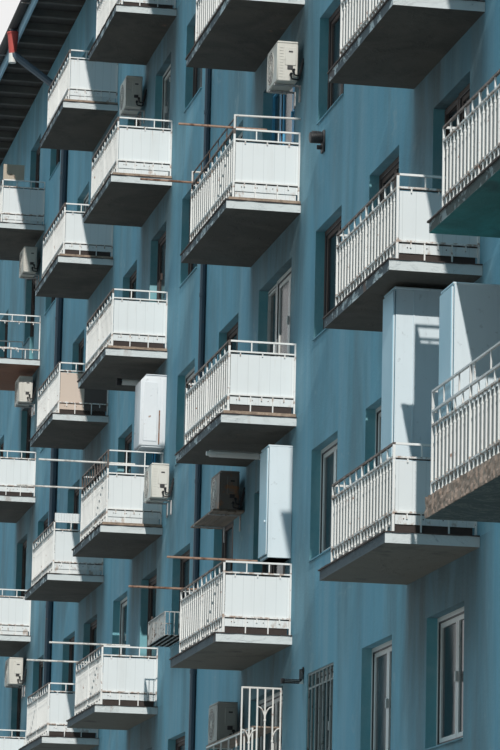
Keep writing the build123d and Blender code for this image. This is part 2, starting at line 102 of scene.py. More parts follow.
# What hangs on the front: places along it and heights, or lowest and highest corners
COOLER_SIZE = (0.36, 0.15, 0.29)
COOLER_BACK = -3.04
GUARD_RINGS = (0.03, 0.055, 0.08, 0.105, 0.118)
FAN_RADIUS = 0.115
COOLERS = [
    (-9.265, 9.015), (-9.265, 7.57), (-9.265, 4.5), (-2.16, 9.02),
    (-0.14, 5.17), (4.82, 7.375), (3.125, 2.912), (2.99, 4.62),
]
CABINETS = [
    ((4.647, -3.18, 4.04), (4.907, FACADE, 4.82)),
    ((9.42, -3.43, 3.5), (9.68, FACADE, 4.915)),
    ((10.93, -3.48, 3.5), (11.19, FACADE, 4.62)),
]
WALL_BOX = ((-0.75, -3.22, 5.69), (-0.45, FACADE, 6.29))
FLUES = [(4.16, 4.862, 0.45), (-1.0, 6.318, 0.3)]
ELBOW = (5.4, 3.15)
LAMP = (5.735, 6.687, 6.837)
CAGE_SIDE = 4.675
CAGE_BAR_SPACING = 0.054
SHELF_TOP = 4.62
SHELF_ENDS = (2.25, 3.19)
LEDGE_TOP = 2.912
LEDGE_ENDS = (2.93, 4.668)

# Eaves and roof
ROOF_SLOPE = radians(20)
RIDGE = 12.67
HALF_RUN = 3.42
ROOF_LENGTH = 27.6
SLOPE_MIDDLE = 1.765
ROOF_RIBS = 56
GUTTER_BRACKETS = 28
BRACKET_SPACING = 1.003
GUTTER_LINE = 3.572
GUTTER_FOOT = 11.292
FIRST_BRACKET = -13.55
PIPES = [(-7.145, 0.036, -1), (1.325, 0.024, -1), (-11.3, 0.036, 1), (1.55, 0.036, 1), (11.3, 0.036, 1)]
HOPPER_X = -7.545

# Where the paint differs: middle and reach of the heights with painted shade behind the balconies,
# the end of the brown soffits, the start of the handrail that kept its paint, and the reach of the jambs
# painted paler as painted light
BALCONY_SHADE_HEIGHTS = (5.8, 3.7)
BROWN_SOFFITS_END = -8.0
KEPT_PAINT_START = 10.6
LAST_LIT_JAMB = 13.5

UP = Vector((0, 0, 1))
OUT = Vector((0, -1, 0))


def floor_of(storey):
    return PLINTH + (storey - 1) * STOREY


def walk_of(balcony):
    """Top of a balcony's floor."""
    return floor_of(balcony[1]) + (LAYER if balcony in LAYERED else 0)


def balconies(letter):
    """Each balcony of a column, how far its railing is set in and stands out, and its floor."""
    for storey in BALCONY_STOREYS:
        balcony = (letter, storey)
        inset = KERB / 2 if balcony == KERBED else SET_BACK
        yield balcony, inset, PROJECTION - inset, walk_of(balcony)


# Modelling
def clear_selection():
    bpy.ops.object.select_all(action="DESELECT")


def mode(name):
    bpy.ops.object.mode_set(mode=name)


def named(name):
    """The object that an operator has just made or joined, under its own name."""
    piece = bpy.context.object
    piece.name = name
    piece.data.name = name
    return piece


def settled(name, size=None):
    """The object just made, with its place, turn and size put into its mesh."""
    piece = named(name)
    if size:
        piece.scale = size
    bpy.ops.object.transform_apply(location=True, rotation=True, scale=True)
    return piece


def chosen(piece):
    clear_selection()
    piece.select_set(True)
    bpy.context.view_layer.objects.active = piece
    return piece


def shaped(piece, kind, **settings):
    """One modifier, set and applied."""
    modifier = piece.modifiers.new(kind.lower(), kind)
    for key, value in settings.items():
        setattr(modifier, key, value)
    bpy.context.view_layer.objects.active = piece
    bpy.ops.object.modifier_apply(modifier=modifier.name)
    return piece


def block(name, low, high, edge=0.0, turn=(0, 0, 0)):
    """A box between two corners, turned about its middle, with its edges taken off."""
    clear_selection()
    low, high = Vector(low), Vector(high)
    bpy.ops.mesh.primitive_cube_add(size=1, location=(low + high) / 2, scale=high - low, rotation=turn)
    piece = settled(name)
    if edge:
        shaped(piece, "BEVEL", width=edge, segments=1)
    return piece


def pick_faces(piece, direction):
    """Selects the faces that point in a direction, and enters edit mode."""
    chosen(piece)
    mode("EDIT")
    bpy.ops.mesh.select_mode(type="FACE")
    bpy.ops.mesh.select_all(action="DESELECT")
    mode("OBJECT")
    for face in piece.data.polygons:
        face.select = face.normal.dot(direction) > 0.5
    mode("EDIT")


def ring(name, low, high, bar, depth, facing=-1):
    """An upright rectangular frame. Its plane is inset by the bar, opened, and given depth."""
    clear_selection()
    middle = ((low[0] + high[0]) / 2, low[1], (low[2] + high[2]) / 2)
    bpy.ops.mesh.primitive_plane_add(size=1, location=middle, rotation=(radians(-90 * facing), 0, 0))
    piece = settled(name, (high[0] - low[0], high[2] - low[2], 1))
    mode("EDIT")
    bpy.ops.mesh.select_all(action="SELECT")
    bpy.ops.mesh.inset(thickness=bar)
    bpy.ops.mesh.delete(type="FACE")
    mode("OBJECT")
    return shaped(piece, "SOLIDIFY", thickness=depth, offset=-1)


def rod(name, start, end, radius, sides=8):
    """A round rod between two points."""
    clear_selection()
    start, end = Vector(start), Vector(end)
    turn = (end - start).to_track_quat("Z", "Y").to_euler()
    bpy.ops.mesh.primitive_cylinder_add(
        vertices=sides, radius=radius, depth=(end - start).length, location=(start + end) / 2, rotation=turn
    )
    return settled(name)


def swept(name, points, radius, sides=8, bend=0.0):
    """A tube along a line that is drawn point by point, its corners rounded first."""
    clear_selection()
    points = [Vector(p) for p in points]
    bpy.ops.mesh.primitive_plane_add(size=0.01, location=points[0])
    piece = settled(name)
    mode("EDIT")
    bpy.ops.mesh.select_mode(type="VERT")
    bpy.ops.mesh.select_all(action="SELECT")
    bpy.ops.mesh.merge(type="CENTER")
    for start, end in zip(points, points[1:]):
        bpy.ops.mesh.extrude_vertices_move(TRANSFORM_OT_translate={"value": tuple(end - start)})
    if bend:
        bpy.ops.mesh.select_all(action="SELECT")
        bpy.ops.mesh.bevel(offset=bend, segments=4, affect="VERTICES")
    mode("OBJECT")
    bpy.ops.object.convert(target="CURVE")
    piece.data.bevel_depth = radius
    piece.data.bevel_resolution = max(0, (sides - 4) // 2)
    piece.data.use_fill_caps = True
    bpy.ops.object.convert(target="MESH")
    return named(name)


def curved_arm(foot, across, rise, turns, wire, sides):
    """A wire that leaves its collar upwards and bends over to one side."""
    points = []
    for turn in turns:
        angle = radians(turn)
        points.append(Vector(foot) + (1 - cos(angle)) * Vector(across) + rise * sin(angle) * UP)
    return swept("arm", points, wire, sides)


def hoop(name, middle, radius, wire):
    """A wire ring that faces along Y."""
    clear_selection()
    bpy.ops.mesh.primitive_torus_add(
        location=middle, rotation=(pi / 2, 0, 0), major_radius=radius, minor_radius=wire,
        major_segments=20, minor_segments=5,
    )
    return settled(name)


def grid(name, middle, size, cuts_x, cuts_y, turn=(0, 0, 0)):
    clear_selection()
    bpy.ops.mesh.primitive_grid_add(
        x_subdivisions=cuts_x, y_subdivisions=cuts_y, size=1, location=middle, rotation=turn
    )
    return settled(name, (*size, 1))


def roughened(piece, grain, depth, amount, level=0.5):
    """The surface is moved in and out by an uneven pattern."""
    texture = bpy.data.textures.new("uneven", "CLOUDS")
    texture.noise_scale = grain
    texture.noise_depth = depth
    shaped(piece, "DISPLACE", texture=texture, strength=amount, mid_level=level, texture_coords="LOCAL")
    bpy.data.textures.remove(texture)
    return piece


def torn_strip(low, high, cuts, amount, grain, shift):
    """A thin strip in many short lengths, moved in and out as a torn edge."""
    low, high = Vector(low), Vector(high)
    size = high - low
    cuts = (cuts, 2) if size.x > size.y else (2, cuts)
    piece = grid("felt", (low + high) / 2, size.xy, *cuts)
    shaped(piece, "SOLIDIFY", thickness=size.z, offset=0)
    piece.data.transform(Matrix.Translation((shift, 0, 0)))
    roughened(piece, grain, 3, amount)
    piece.data.transform(Matrix.Translation((-shift, 0, 0)))
    return piece


def repeated(piece, count, step):
    """Equal copies in a row, in the same mesh."""
    return shaped(piece, "ARRAY", count=count, use_relative_offset=False,
                  use_constant_offset=True, constant_offset_displace=step)


def copied(piece, offset):
    twin = piece.copy()
    twin.data = piece.data.copy()
    twin.data.transform(Matrix.Translation(offset))
    bpy.context.collection.objects.link(twin)
    return twin


def discard(pieces):
    for piece in pieces:
        bpy.data.objects.remove(piece)


def spread(piece, offsets):
    """Copies of a pattern piece at each offset; the pattern itself is deleted."""
    twins = [copied(piece, offset) for offset in offsets]
    discard([piece])
    return twins


def joined(name, pieces):
    clear_selection()
    for piece in pieces:
        piece.select_set(True)
    bpy.context.view_layer.objects.active = pieces[0]
    if len(pieces) > 1:
        bpy.ops.object.join()
    return named(name)


def rounded(piece):
    chosen(piece)
    bpy.ops.object.shade_smooth_by_angle(angle=radians(40))
    return piece


def finished(piece, finish, replaces=None):
    """The piece gets its finish and goes with the block."""
    piece.data.materials.clear()
    piece.data.materials.append(finish)
    if replaces:
        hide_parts(replaces)
    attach(piece, "root")
    return piece


# Finishes
def shade(colour, factor):
    return tuple(min(1, v * factor) for v in colour)


class Finish:
    """Coats of colour, one over the other, in patterns on the piece's own coordinates."""

    def __init__(self, name, roughness, colour, metallic=0.0):
        self.material = bpy.data.materials.new(name)
        self.material.use_nodes = True
        self.tree = self.material.node_tree
        self.shader = self.tree.nodes["Principled BSDF"]
        self.shader.inputs["Roughness"].default_value = roughness
        self.shader.inputs["Metallic"].default_value = metallic
        self.place = self.node("ShaderNodeTexCoord").outputs["Object"]
        self.colour = colour

    def node(self, kind, **settings):
        made = self.tree.nodes.new(kind)
        for key, value in settings.items():
            setattr(made, key, value)
        return made

    def put(self, source, target):
        """A plain number or colour is set, and an output is linked."""
        if isinstance(source, bpy.types.NodeSocket):
            self.tree.links.new(source, target)
        elif isinstance(source, tuple):
            target.default_value = (*source, 1)
        else:
            target.default_value = source

    def noise(self, scale, stretch=(1, 1, 1), detail=4, rough=0.6, warp=0.0, shift=(0, 0, 0)):
        mapping = self.node("ShaderNodeMapping")
        mapping.inputs["Scale"].default_value = stretch
        mapping.inputs["Location"].default_value = shift
        self.put(self.place, mapping.inputs["Vector"])
        texture = self.node("ShaderNodeTexNoise")
        texture.inputs["Scale"].default_value = scale
        texture.inputs["Detail"].default_value = detail
        texture.inputs["Roughness"].default_value = rough
        texture.inputs["Distortion"].default_value = warp
        self.put(mapping.outputs["Vector"], texture.inputs["Vector"])
        return texture.outputs["Fac"]

    def steps(self, factor, stops):
        """A factor is spread over numbers."""
        ramp = self.node("ShaderNodeValToRGB")
        while len(ramp.color_ramp.elements) < len(stops):
            ramp.color_ramp.elements.new(0.5)
        for element, (position, value) in zip(ramp.color_ramp.elements, stops):
            element.position = position
            element.color = (value, value, value, 1)
        self.put(factor, ramp.inputs["Fac"])
        return ramp.outputs["Color"]

    def fade(self, factor, low, high, most=1.0, least=0.0):
        """From least under low to most over high."""
        return self.steps(factor, [(low, least), (high, most)])

    def mix(self, factor, first, second):
        mixer = self.node("ShaderNodeMix", data_type="RGBA")
        self.put(factor, mixer.inputs["Factor"])
        self.put(first, mixer.inputs[6])
        self.put(second, mixer.inputs[7])
        return mixer.outputs[2]

    def coat(self, colour, factor, low=None, high=None, most=1.0):
        """The next colour, where a factor is 1 or where a pattern is over its limits."""
        if low is not None:
            factor = self.fade(factor, low, high, most)
        self.colour = self.mix(factor, self.colour, colour)

    def math(self, operation, first, second=0.0):
        made = self.node("ShaderNodeMath", operation=operation)
        self.put(first, made.inputs[0])
        self.put(second, made.inputs[1])
        return made.outputs[0]

    def both(self, first, second):
        return self.math("MULTIPLY", first, second)

    def less(self, first, second):
        return self.math("LESS_THAN", first, second)

    def more(self, first, second):
        return self.math("GREATER_THAN", first, second)

    def part(self, vector, axis):
        split = self.node("ShaderNodeSeparateXYZ")
        self.put(vector, split.inputs[0])
        return split.outputs[axis]

    def axis(self, name):
        return self.part(self.place, name)

    def facing(self, name):
        return self.part(self.node("ShaderNodeNewGeometry").outputs["Normal"], name)

    def near(self, value, middle, reach):
        return self.less(self.math("ABSOLUTE", self.math("SUBTRACT", value, middle)), reach)

    def above_floor(self):
        """Height above the floor of the storey that a point is in."""
        height = self.math("SUBTRACT", self.axis("Z"), PLINTH)
        return self.math("FLOORED_MODULO", height, STOREY)

    def upright(self):
        """1 on faces that stand, 0 on those that lie."""
        return self.near(self.facing("Z"), 0, 0.5)

    def done(self, height=None, bump=0.3, distance=0.004, roughness=None):
        self.put(self.colour, self.shader.inputs["Base Color"])
        if height is not None:
            made = self.node("ShaderNodeBump")
            made.inputs["Strength"].default_value = bump
            made.inputs["Distance"].default_value = distance
            self.put(height, made.inputs["Height"])
            self.put(made.outputs["Normal"], self.shader.inputs["Normal"])
        if roughness is not None:
            self.put(roughness, self.shader.inputs["Roughness"])
        return self.material


def wall_paint(name, base):
    """Blue paint on plaster, washed in long runs, with patches and soot; painted shade behind the balconies,
    and jambs painted paler as painted light.
    """
    f = Finish(name, 0.85, shade(base, 0.88))
    soot = f.noise(1.0, stretch=(1.5, 1.5, 0.45), detail=8, warp=0.5, shift=(5, 3, 1))
    blots = f.noise(2.6, detail=8, rough=0.7, warp=0.7, shift=(1, 8, 3))
    fine = f.noise(60, detail=5)
    f.coat((base[0] * 1.18, base[1] * 1.08, base[2] * 1.03), f.noise(0.45, detail=6, warp=0.6), 0.36, 0.64)
    f.coat((0.36, 0.50, 0.55), f.noise(3.2, stretch=(1.6, 1.6, 0.07), detail=7), 0.45, 0.72, 0.42)
    thin_runs = f.noise(13, stretch=(1.5, 1.5, 0.05), detail=5, shift=(3, 1, 2))
    f.coat(shade(base, 0.62), thin_runs, 0.55, 0.74, 0.25)
    f.coat((0.085, 0.17, 0.20), soot, 0.46, 0.66, 0.7)
    f.coat((0.40, 0.50, 0.52), blots, 0.60, 0.66, 0.35)
    f.coat((0.40, 0.52, 0.56), fine, 0.35, 0.75, 0.18)
    # Painted shade on the wall behind each balcony column: strongest just under each slab, broken up by the
    # soot pattern
    stops = []
    for centre, length in COLUMNS.values():
        left, right = centre - length / 2, centre + length / 2
        for x, value in ((left - 0.15, 0.0), (left + 0.1, 1.0), (right - 0.1, 1.0), (right + 0.3, 0.0)):
            stops.append(((x + LENGTH / 2) / LENGTH, value))
    along = f.math("DIVIDE", f.math("ADD", f.axis("X"), LENGTH / 2), LENGTH)
    painted_shade_behind = f.both(f.steps(along, sorted(stops)), f.less(f.axis("Y"), 0))
    rise = f.math("DIVIDE", f.above_floor(), STOREY)
    painted_shade_behind = f.both(painted_shade_behind, f.steps(rise, [(0.0, 0.35), (0.55, 0.6), (0.93, 1.0)]))
    painted_shade_behind = f.both(painted_shade_behind, f.near(f.axis("Z"), *BALCONY_SHADE_HEIGHTS))
    painted_shade_behind = f.both(painted_shade_behind, f.fade(soot, 0.32, 0.62, 1.0, 0.45))
    f.coat((0.055, 0.070, 0.073), f.both(painted_shade_behind, 0.95))
    # Painted light: jambs that face along the wall are painted paler than the wall
    jamb = f.more(f.math("ABSOLUTE", f.facing("X")), 0.7)
    worn = f.mix(f.fade(blots, 0.4, 0.65), (0.15, 0.40, 0.46), (0.24, 0.46, 0.51))
    f.coat(worn, f.both(jamb, f.near(f.axis("X"), 0, LAST_LIT_JAMB)))
    height = f.math("ADD", f.both(fine, 0.5), f.noise(7, detail=4))
    return f.done(height, 0.8, 0.008, f.fade(fine, 0.3, 0.7, 0.95, 0.72))


def slab_finish(name, front, flaked, side, soffit, screed, green=False):
    """White paint that flakes off the edges in big patches, with fronts darkened partly as painted shade, and
    a stained soffit, painted lighter on the lowest balconies as painted light.
    """
    f = Finish(name, 0.85, side)
    flakes = f.noise(6, stretch=(1, 1, 1.6), detail=8, rough=0.68, warp=0.6)
    lowest = f.less(f.axis("Z"), floor_of(3) + 0.1)
    f.coat((0.28, 0.32, 0.34), flakes, 0.62, 0.68, 0.7)
    # The fronts are dark where the white is gone, and partly as painted shade; on the lowest balconies no
    # white is left on them
    left = f.both(f.math("SUBTRACT", 1.0, lowest), f.fade(flakes, 0.52, 0.56))
    f.coat(f.mix(left, front, flaked), f.less(f.facing("Y"), -0.5))
    f.coat((0.22, 0.10, 0.05), f.noise(4, stretch=(1, 1, 0.35), detail=6, shift=(2, 7, 1)), 0.60, 0.76, 0.8)
    grit = f.mix(f.fade(f.noise(24, detail=8), 0.35, 0.7), screed, shade(screed, 0.5))
    f.coat(grit, f.both(f.less(f.above_floor(), 0.06), f.upright()))
    if green:
        crumbs = f.fade(f.noise(18, detail=8, rough=0.75), 0.38, 0.62)
        f.coat(f.mix(crumbs, (0.48, 0.35, 0.27), (0.16, 0.12, 0.095)), f.both(lowest, f.upright()))
    edges = f.colour
    clouds = f.noise(1.5, detail=8, rough=0.65, warp=0.8)
    # Painted light: the undersides of the lowest balconies are painted several times lighter than the higher
    # ones
    height = f.math("DIVIDE", f.math("SUBTRACT", f.axis("Z"), floor_of(3)), 6.0)
    height = f.fade(height, 0.04, 0.26)
    f.colour = f.mix(height, shade(soffit, 3.2), shade(soffit, 0.68))
    f.coat(f.mix(height, shade(soffit, 3.0), shade(soffit, 1.4)), clouds, 0.42, 0.62)
    brown = f.both(f.less(f.axis("X"), BROWN_SOFFITS_END), f.near(f.axis("Z"), floor_of(6), 0.3))
    f.coat(f.mix(clouds, (0.30, 0.13, 0.075), (0.20, 0.10, 0.065)), brown)
    f.coat(shade(soffit, 0.35), f.noise(2.6, detail=7, warp=0.5, shift=(9, 1, 4)), 0.58, 0.70, 0.75)
    f.coat((0.19, 0.11, 0.07), f.noise(5.5, detail=9, rough=0.7, shift=(1, 5, 4)), 0.66, 0.70, 0.8)
    if green:
        cracks = f.noise(3, detail=9, rough=0.7, warp=1.5)
        cracks = f.steps(cracks, [(0.47, 0.0), (0.50, 1.0), (0.53, 0.0)])
        f.coat(f.mix(f.both(cracks, 0.5), (0.032, 0.052, 0.05), (0.20, 0.22, 0.20)), lowest)
    f.colour = f.mix(f.less(f.facing("Z"), -0.5), edges, f.colour)
    walked = f.mix(f.fade(clouds, 0.35, 0.7), (0.30, 0.22, 0.17), (0.20, 0.16, 0.13))
    f.coat(walked, f.more(f.facing("Z"), 0.5))
    height = f.math("ADD", f.fade(flakes, 0.5, 0.62), f.both(f.noise(38, detail=6), 0.8))
    return f.done(height, 0.7, 0.005)


def chipped_paint(name, base, roughness=0.45, rust=(0.24, 0.09, 0.04), amount=0.6, dark_top=None):
    """Old gloss paint on iron, with chips, rust and grime; a handrail's top band can be worn bare."""
    f = Finish(name, roughness, base)
    chips = f.noise(18, detail=8, rough=0.7, warp=0.3)
    f.coat(shade(base, 0.62), f.noise(2.3, stretch=(1, 1, 0.4), detail=6), 0.4, 0.8, 0.45)
    if dark_top:
        rise = f.above_floor()
        spots = f.noise(30, detail=8, rough=0.7, shift=(2, 2, 5))
        for centre, reach, most in ((0.120, 0.016, 0.75), (0.421, 0.014, 0.7)):
            f.coat((0.30, 0.16, 0.09), f.both(f.near(rise, centre, reach), f.fade(spots, 0.46, 0.56, most)))
        bare = f.both(f.more(rise, 0.4875), f.less(rise, 0.7))
        bare = f.both(bare, f.less(f.axis("Y"), FACADE - PROJECTION + SET_BACK + 0.008))
        near_end = f.both(f.more(f.axis("X"), KEPT_PAINT_START), f.less(f.axis("Z"), floor_of(4) - 0.1))
        bare = f.both(bare, f.math("SUBTRACT", 1.0, f.both(near_end, 0.8)))
        f.coat(f.mix(chips, dark_top, shade(dark_top, 0.4)), bare)
    f.coat(rust, chips, amount, amount + 0.06)
    return f.done(chips, 0.25, 0.001, f.fade(chips, 0.4, amount + 0.05, 0.9, roughness))


def sheet_paint(name, base):
    """White sheet metal in narrow widths, grimy towards its foot, with rust runs; painted shade on its faces
    toward -Y and on part of one side board.
    """
    f = Finish(name, 0.45, base)
    rise = f.above_floor()
    grime = f.noise(1.3, detail=5)
    f.coat(shade(base, 0.78), grime, 0.4, 0.75, 0.25)
    f.coat((0.50, 0.49, 0.46), f.noise(14, stretch=(1, 1, 0.10), detail=7), 0.55, 0.85, 0.3)
    along = f.math("ADD", f.axis("X"), f.axis("Y"))
    seam = f.less(f.math("FLOORED_MODULO", along, SHEET_WIDTH), SHEET_SEAM)
    f.coat((0.35, 0.38, 0.38), f.both(seam, 0.28))
    spots = f.fade(f.noise(20, stretch=(1, 1, 0.6), detail=8), 0.56, 0.64, 0.6)
    f.coat((0.33, 0.19, 0.11), f.both(f.fade(rise, 0.055, 0.12, 0.0, 1.0), spots))
    drips = f.fade(f.noise(30, stretch=(1, 1, 0.05), detail=5, shift=(1, 4, 2)), 0.62, 0.74)
    f.coat((0.42, 0.27, 0.17), f.both(f.fade(rise, 0.30, 0.41, 0.6), drips))
    # Painted shade: faces toward -Y are darkened, as the sheet lies in the shade of the bars in front of it
    f.coat(f.mix(grime, (0.36, 0.37, 0.35), (0.24, 0.25, 0.24)), f.less(f.facing("Y"), -0.5))
    inside = f.both(f.near(f.axis("X"), -4.5, 0.9), f.near(f.axis("Z"), floor_of(5) + 0.3, 0.4))
    board = f.both(inside, f.more(f.math("ABSOLUTE", f.facing("X")), 0.5))
    f.coat(f.mix(grime, (0.58, 0.45, 0.37), (0.66, 0.55, 0.46)), board)
    # Painted shade: the part of that board near the wall is painted near black, as an open, shaded gap
    f.coat((0.06, 0.05, 0.045), f.both(board, f.more(f.axis("Y"), FACADE - 0.225)))
    height = f.math("SUBTRACT", f.noise(3, detail=3), f.both(seam, 0.3))
    return f.done(height, 0.15, 0.01, f.fade(grime, 0.3, 0.7, 0.6, 0.4))


def timber(name, base, dark, along, side=None):
    """Grey weathered wood, its grain along one direction; its upright sides can be painted lighter as painted
    light.
    """
    f = Finish(name, 0.8, base)
    stretch = tuple(0.06 if axis == along else 1 for axis in "XYZ")
    grain = f.noise(30, stretch=stretch, detail=8, rough=0.7)
    f.coat(dark, grain, 0.35, 0.7)
    # Painted light: upright faces take the lighter side colour
    if side:
        f.coat(f.mix(f.fade(grain, 0.35, 0.7), side, shade(side, 0.7)), f.upright())
    f.coat(shade(dark, 0.6), f.noise(1.8, detail=4), 0.4, 0.7, 0.5)
    return f.done(grain, 0.4, 0.003)


def metal_paint(name, base, roughness, worn, rust=0.0, front=None):
    """Dull coloured sheet, faded, scratched, with runs and rust; its front faces can be painted darker as
    painted shade.
    """
    f = Finish(name, roughness, base)
    faded = f.noise(1.4, detail=6)
    spots = f.noise(26, detail=7)
    f.coat(worn, faded, 0.35, 0.75, 0.5)
    f.coat(shade(worn, 0.75), f.noise(16, stretch=(1, 1, 0.06), detail=6), 0.55, 0.8, 0.3)
    f.coat(shade(base, 0.5), spots, 0.62, 0.7, 0.4)
    # Painted shade: faces toward -Y take the front colour
    if front:
        f.coat(f.mix(faded, front, shade(front, 0.85)), f.less(f.facing("Y"), -0.5))
    if rust:
        bitten = f.noise(9, detail=9, rough=0.72, warp=0.4, shift=(4, 2, 7))
        f.coat((0.27, 0.13, 0.06), bitten, rust, rust + 0.05, 0.85)
    return f.done(spots, 0.15, 0.002, f.fade(faded, 0.3, 0.7, min(1, roughness + 0.2), roughness))


def bare_metal(name, base, rust, amount, left=None):
    """Dull metal with rust; what stands on the left half can be paler."""
    f = Finish(name, 0.45, base, 0.3 if left else 0.6)
    spots = f.noise(16, detail=8, rough=0.7)
    if left:
        leftward = f.less(f.axis("X"), 1.0)
        f.coat(left, leftward)
        rust = f.mix(leftward, rust, shade(left, 0.6))
    f.coat(rust, spots, amount, amount + 0.12)
    return f.done(spots, 0.25, 0.001, f.fade(spots, 0.4, 0.65, 0.85, 0.4))


def glass(name, base):
    """Dark panes with a film of dust."""
    f = Finish(name, 0.12, base)
    f.shader.inputs["Specular IOR Level"].default_value = 0.35
    dust = f.noise(2.5, stretch=(1, 1, 0.5), detail=6)
    f.coat((0.10, 0.14, 0.15), dust, 0.4, 0.8, 0.35)
    return f.done(roughness=f.fade(dust, 0.35, 0.75, 0.32, 0.08))


def plain_floor(name, base, bounce):
    """An even floor that throws only part of its light on what stands on it."""
    f = Finish(name, 0.95, base)
    f.coat(shade(base, 0.985), f.noise(0.05, detail=1), 0.3, 0.7)
    f.coat(shade(base, bounce), f.node("ShaderNodeLightPath").outputs["Is Diffuse Ray"])
    return f.done()


def rough_concrete(name, base):
    f = Finish(name, 0.9, base)
    fine = f.noise(45, detail=6)
    f.coat(shade(base, 0.62), f.noise(1.5, detail=8, rough=0.65), 0.35, 0.7)
    f.coat(shade(base, 1.4), fine, 0.4, 0.7, 0.3)
    return f.done(fine, 0.5, 0.004)


FRONT_PAINT = wall_paint("blue_wall_paint", (0.140, 0.372, 0.49))
# The first colour of each slab finish is the dark of its fronts, partly painted shade
SLAB_PAINT = slab_finish(
    "flaking_slab_paint", (0.060, 0.082, 0.095), (0.62, 0.66, 0.66), (0.66, 0.70, 0.70),
    (0.050, 0.045, 0.037), (0.44, 0.33, 0.25),
)
SLAB_GREEN = slab_finish(
    "green_underside", (0.020, 0.038, 0.038), (0.30, 0.34, 0.34), (0.55, 0.60, 0.58),
    (0.022, 0.160, 0.158), (0.40, 0.31, 0.24), green=True,
)
RAIL_PAINT = chipped_paint("white_rail_paint", (0.86, 0.855, 0.83), amount=0.62, dark_top=(0.13, 0.10, 0.085))
IRON_PAINT = chipped_paint("white_iron_paint", (0.76, 0.74, 0.70))
DARK_IRON = chipped_paint("dark_rusty_iron", (0.10, 0.10, 0.105), 0.6, (0.20, 0.10, 0.06), 0.5)
RACK_PAINT = chipped_paint("worn_rack_paint", (0.42, 0.43, 0.42), 0.6, (0.15, 0.10, 0.075), 0.54)
GRILLE_PAINT = chipped_paint("grille_paint", (0.27, 0.29, 0.28), 0.6, (0.10, 0.085, 0.075), 0.56)
RUSTY_STRIP = chipped_paint("rusty_strip", (0.24, 0.16, 0.12), 0.7, amount=0.5)
DOOR_PAINT = chipped_paint("brown_door_paint", (0.16, 0.10, 0.075), 0.55, amount=0.66)
SHEET_PAINT = sheet_paint("white_sheet_paint", (0.75, 0.785, 0.79))
# The beams' upright sides are painted lighter than their undersides: painted light
BEAM_WOOD = timber("eave_beam_wood", (0.085, 0.08, 0.075), (0.05, 0.048, 0.045), "Y", (0.20, 0.19, 0.175))
BOARD_WOOD = timber("eave_board_wood", (0.05, 0.045, 0.042), (0.03, 0.027, 0.026), "X")
SHELF = timber("shelf_plank_wood", (0.33, 0.25, 0.19), (0.16, 0.12, 0.095), "X")
OLD_FRAME = timber("old_frame_timber", (0.085, 0.06, 0.05), (0.04, 0.032, 0.03), "Z")
ROOF_PAINT = metal_paint("roof_sheet_paint", (0.17, 0.19, 0.21), 0.55, (0.28, 0.28, 0.28), 0.6)
FASCIA_PAINT = metal_paint("fascia_paint", (0.30, 0.52, 0.66), 0.6, (0.44, 0.58, 0.66))
DARK_METAL = metal_paint("dark_gutter_metal", (0.007, 0.008, 0.010), 0.75, (0.016, 0.018, 0.02))
# Painted shade: a darker grey cooler finish for the cooler on the ledge
SHADED_COOLER = metal_paint("cooler_paint_in_painted_shade", (0.40, 0.40, 0.37), 0.55, (0.30, 0.29, 0.26), 0.66)
# A dark brown cooler finish, for the cooler on the shelf
DARK_BROWN_COOLER = metal_paint("dark_brown_cooler_paint", (0.16, 0.145, 0.13), 0.6, (0.10, 0.075, 0.055), 0.55)
COOLER = metal_paint("cooler_case_paint", (0.68, 0.66, 0.60), 0.5, (0.52, 0.48, 0.42), 0.68)
PIPE_METAL = metal_paint("navy_pipe_metal", (0.035, 0.06, 0.085), 0.5, (0.06, 0.10, 0.13), 0.64)
# The last colour, a darker blue on the cabinet fronts, is painted shade
CABINET = metal_paint("cabinet_paint", (0.71, 0.79, 0.83), 0.45, (0.58, 0.67, 0.71), 0.72, (0.38, 0.60, 0.70))
BOX_PAINT = metal_paint("wall_box_paint", (0.80, 0.82, 0.84), 0.45, (0.68, 0.70, 0.72), 0.64)
FLUE_PAINT = metal_paint("flue_paint", (0.84, 0.84, 0.80), 0.4, (0.74, 0.72, 0.66))
SCREEN = metal_paint("faded_screen_board", (0.50, 0.42, 0.33), 0.7, (0.60, 0.52, 0.42), 0.6)
WHITE_FRAME = metal_paint("white_frame_plastic", (0.72, 0.72, 0.69), 0.35, (0.60, 0.60, 0.57))
BLUE_FRAME = metal_paint("bright_blue_frame", (0.07, 0.42, 0.72), 0.4, (0.16, 0.50, 0.74))
RED_PAINT = metal_paint("red_hopper_paint", (0.55, 0.07, 0.06), 0.5, (0.45, 0.12, 0.10), 0.66)
BLACK_PLASTIC = metal_paint("black_grille_plastic", (0.02, 0.02, 0.022), 0.45, (0.04, 0.04, 0.045))
ZINC = bare_metal("dull_zinc", (0.40, 0.40, 0.40), (0.20, 0.10, 0.06), 0.55)
POLE = bare_metal("spotted_pole_metal", (0.34, 0.22, 0.16), (0.16, 0.08, 0.05), 0.48, (0.72, 0.70, 0.66))
PANE = glass("dark_pane", (0.018, 0.026, 0.032))
CONCRETE = rough_concrete("plain_concrete", (0.33, 0.32, 0.30))
# The felt colour is also used for the dark boards and strips that are painted shade
FELT_AND_SHADE = rough_concrete("torn_felt_and_painted_shade", (0.055, 0.042, 0.038))
CRUMBLED = rough_concrete("crumbled_mortar", (0.42, 0.30, 0.235))

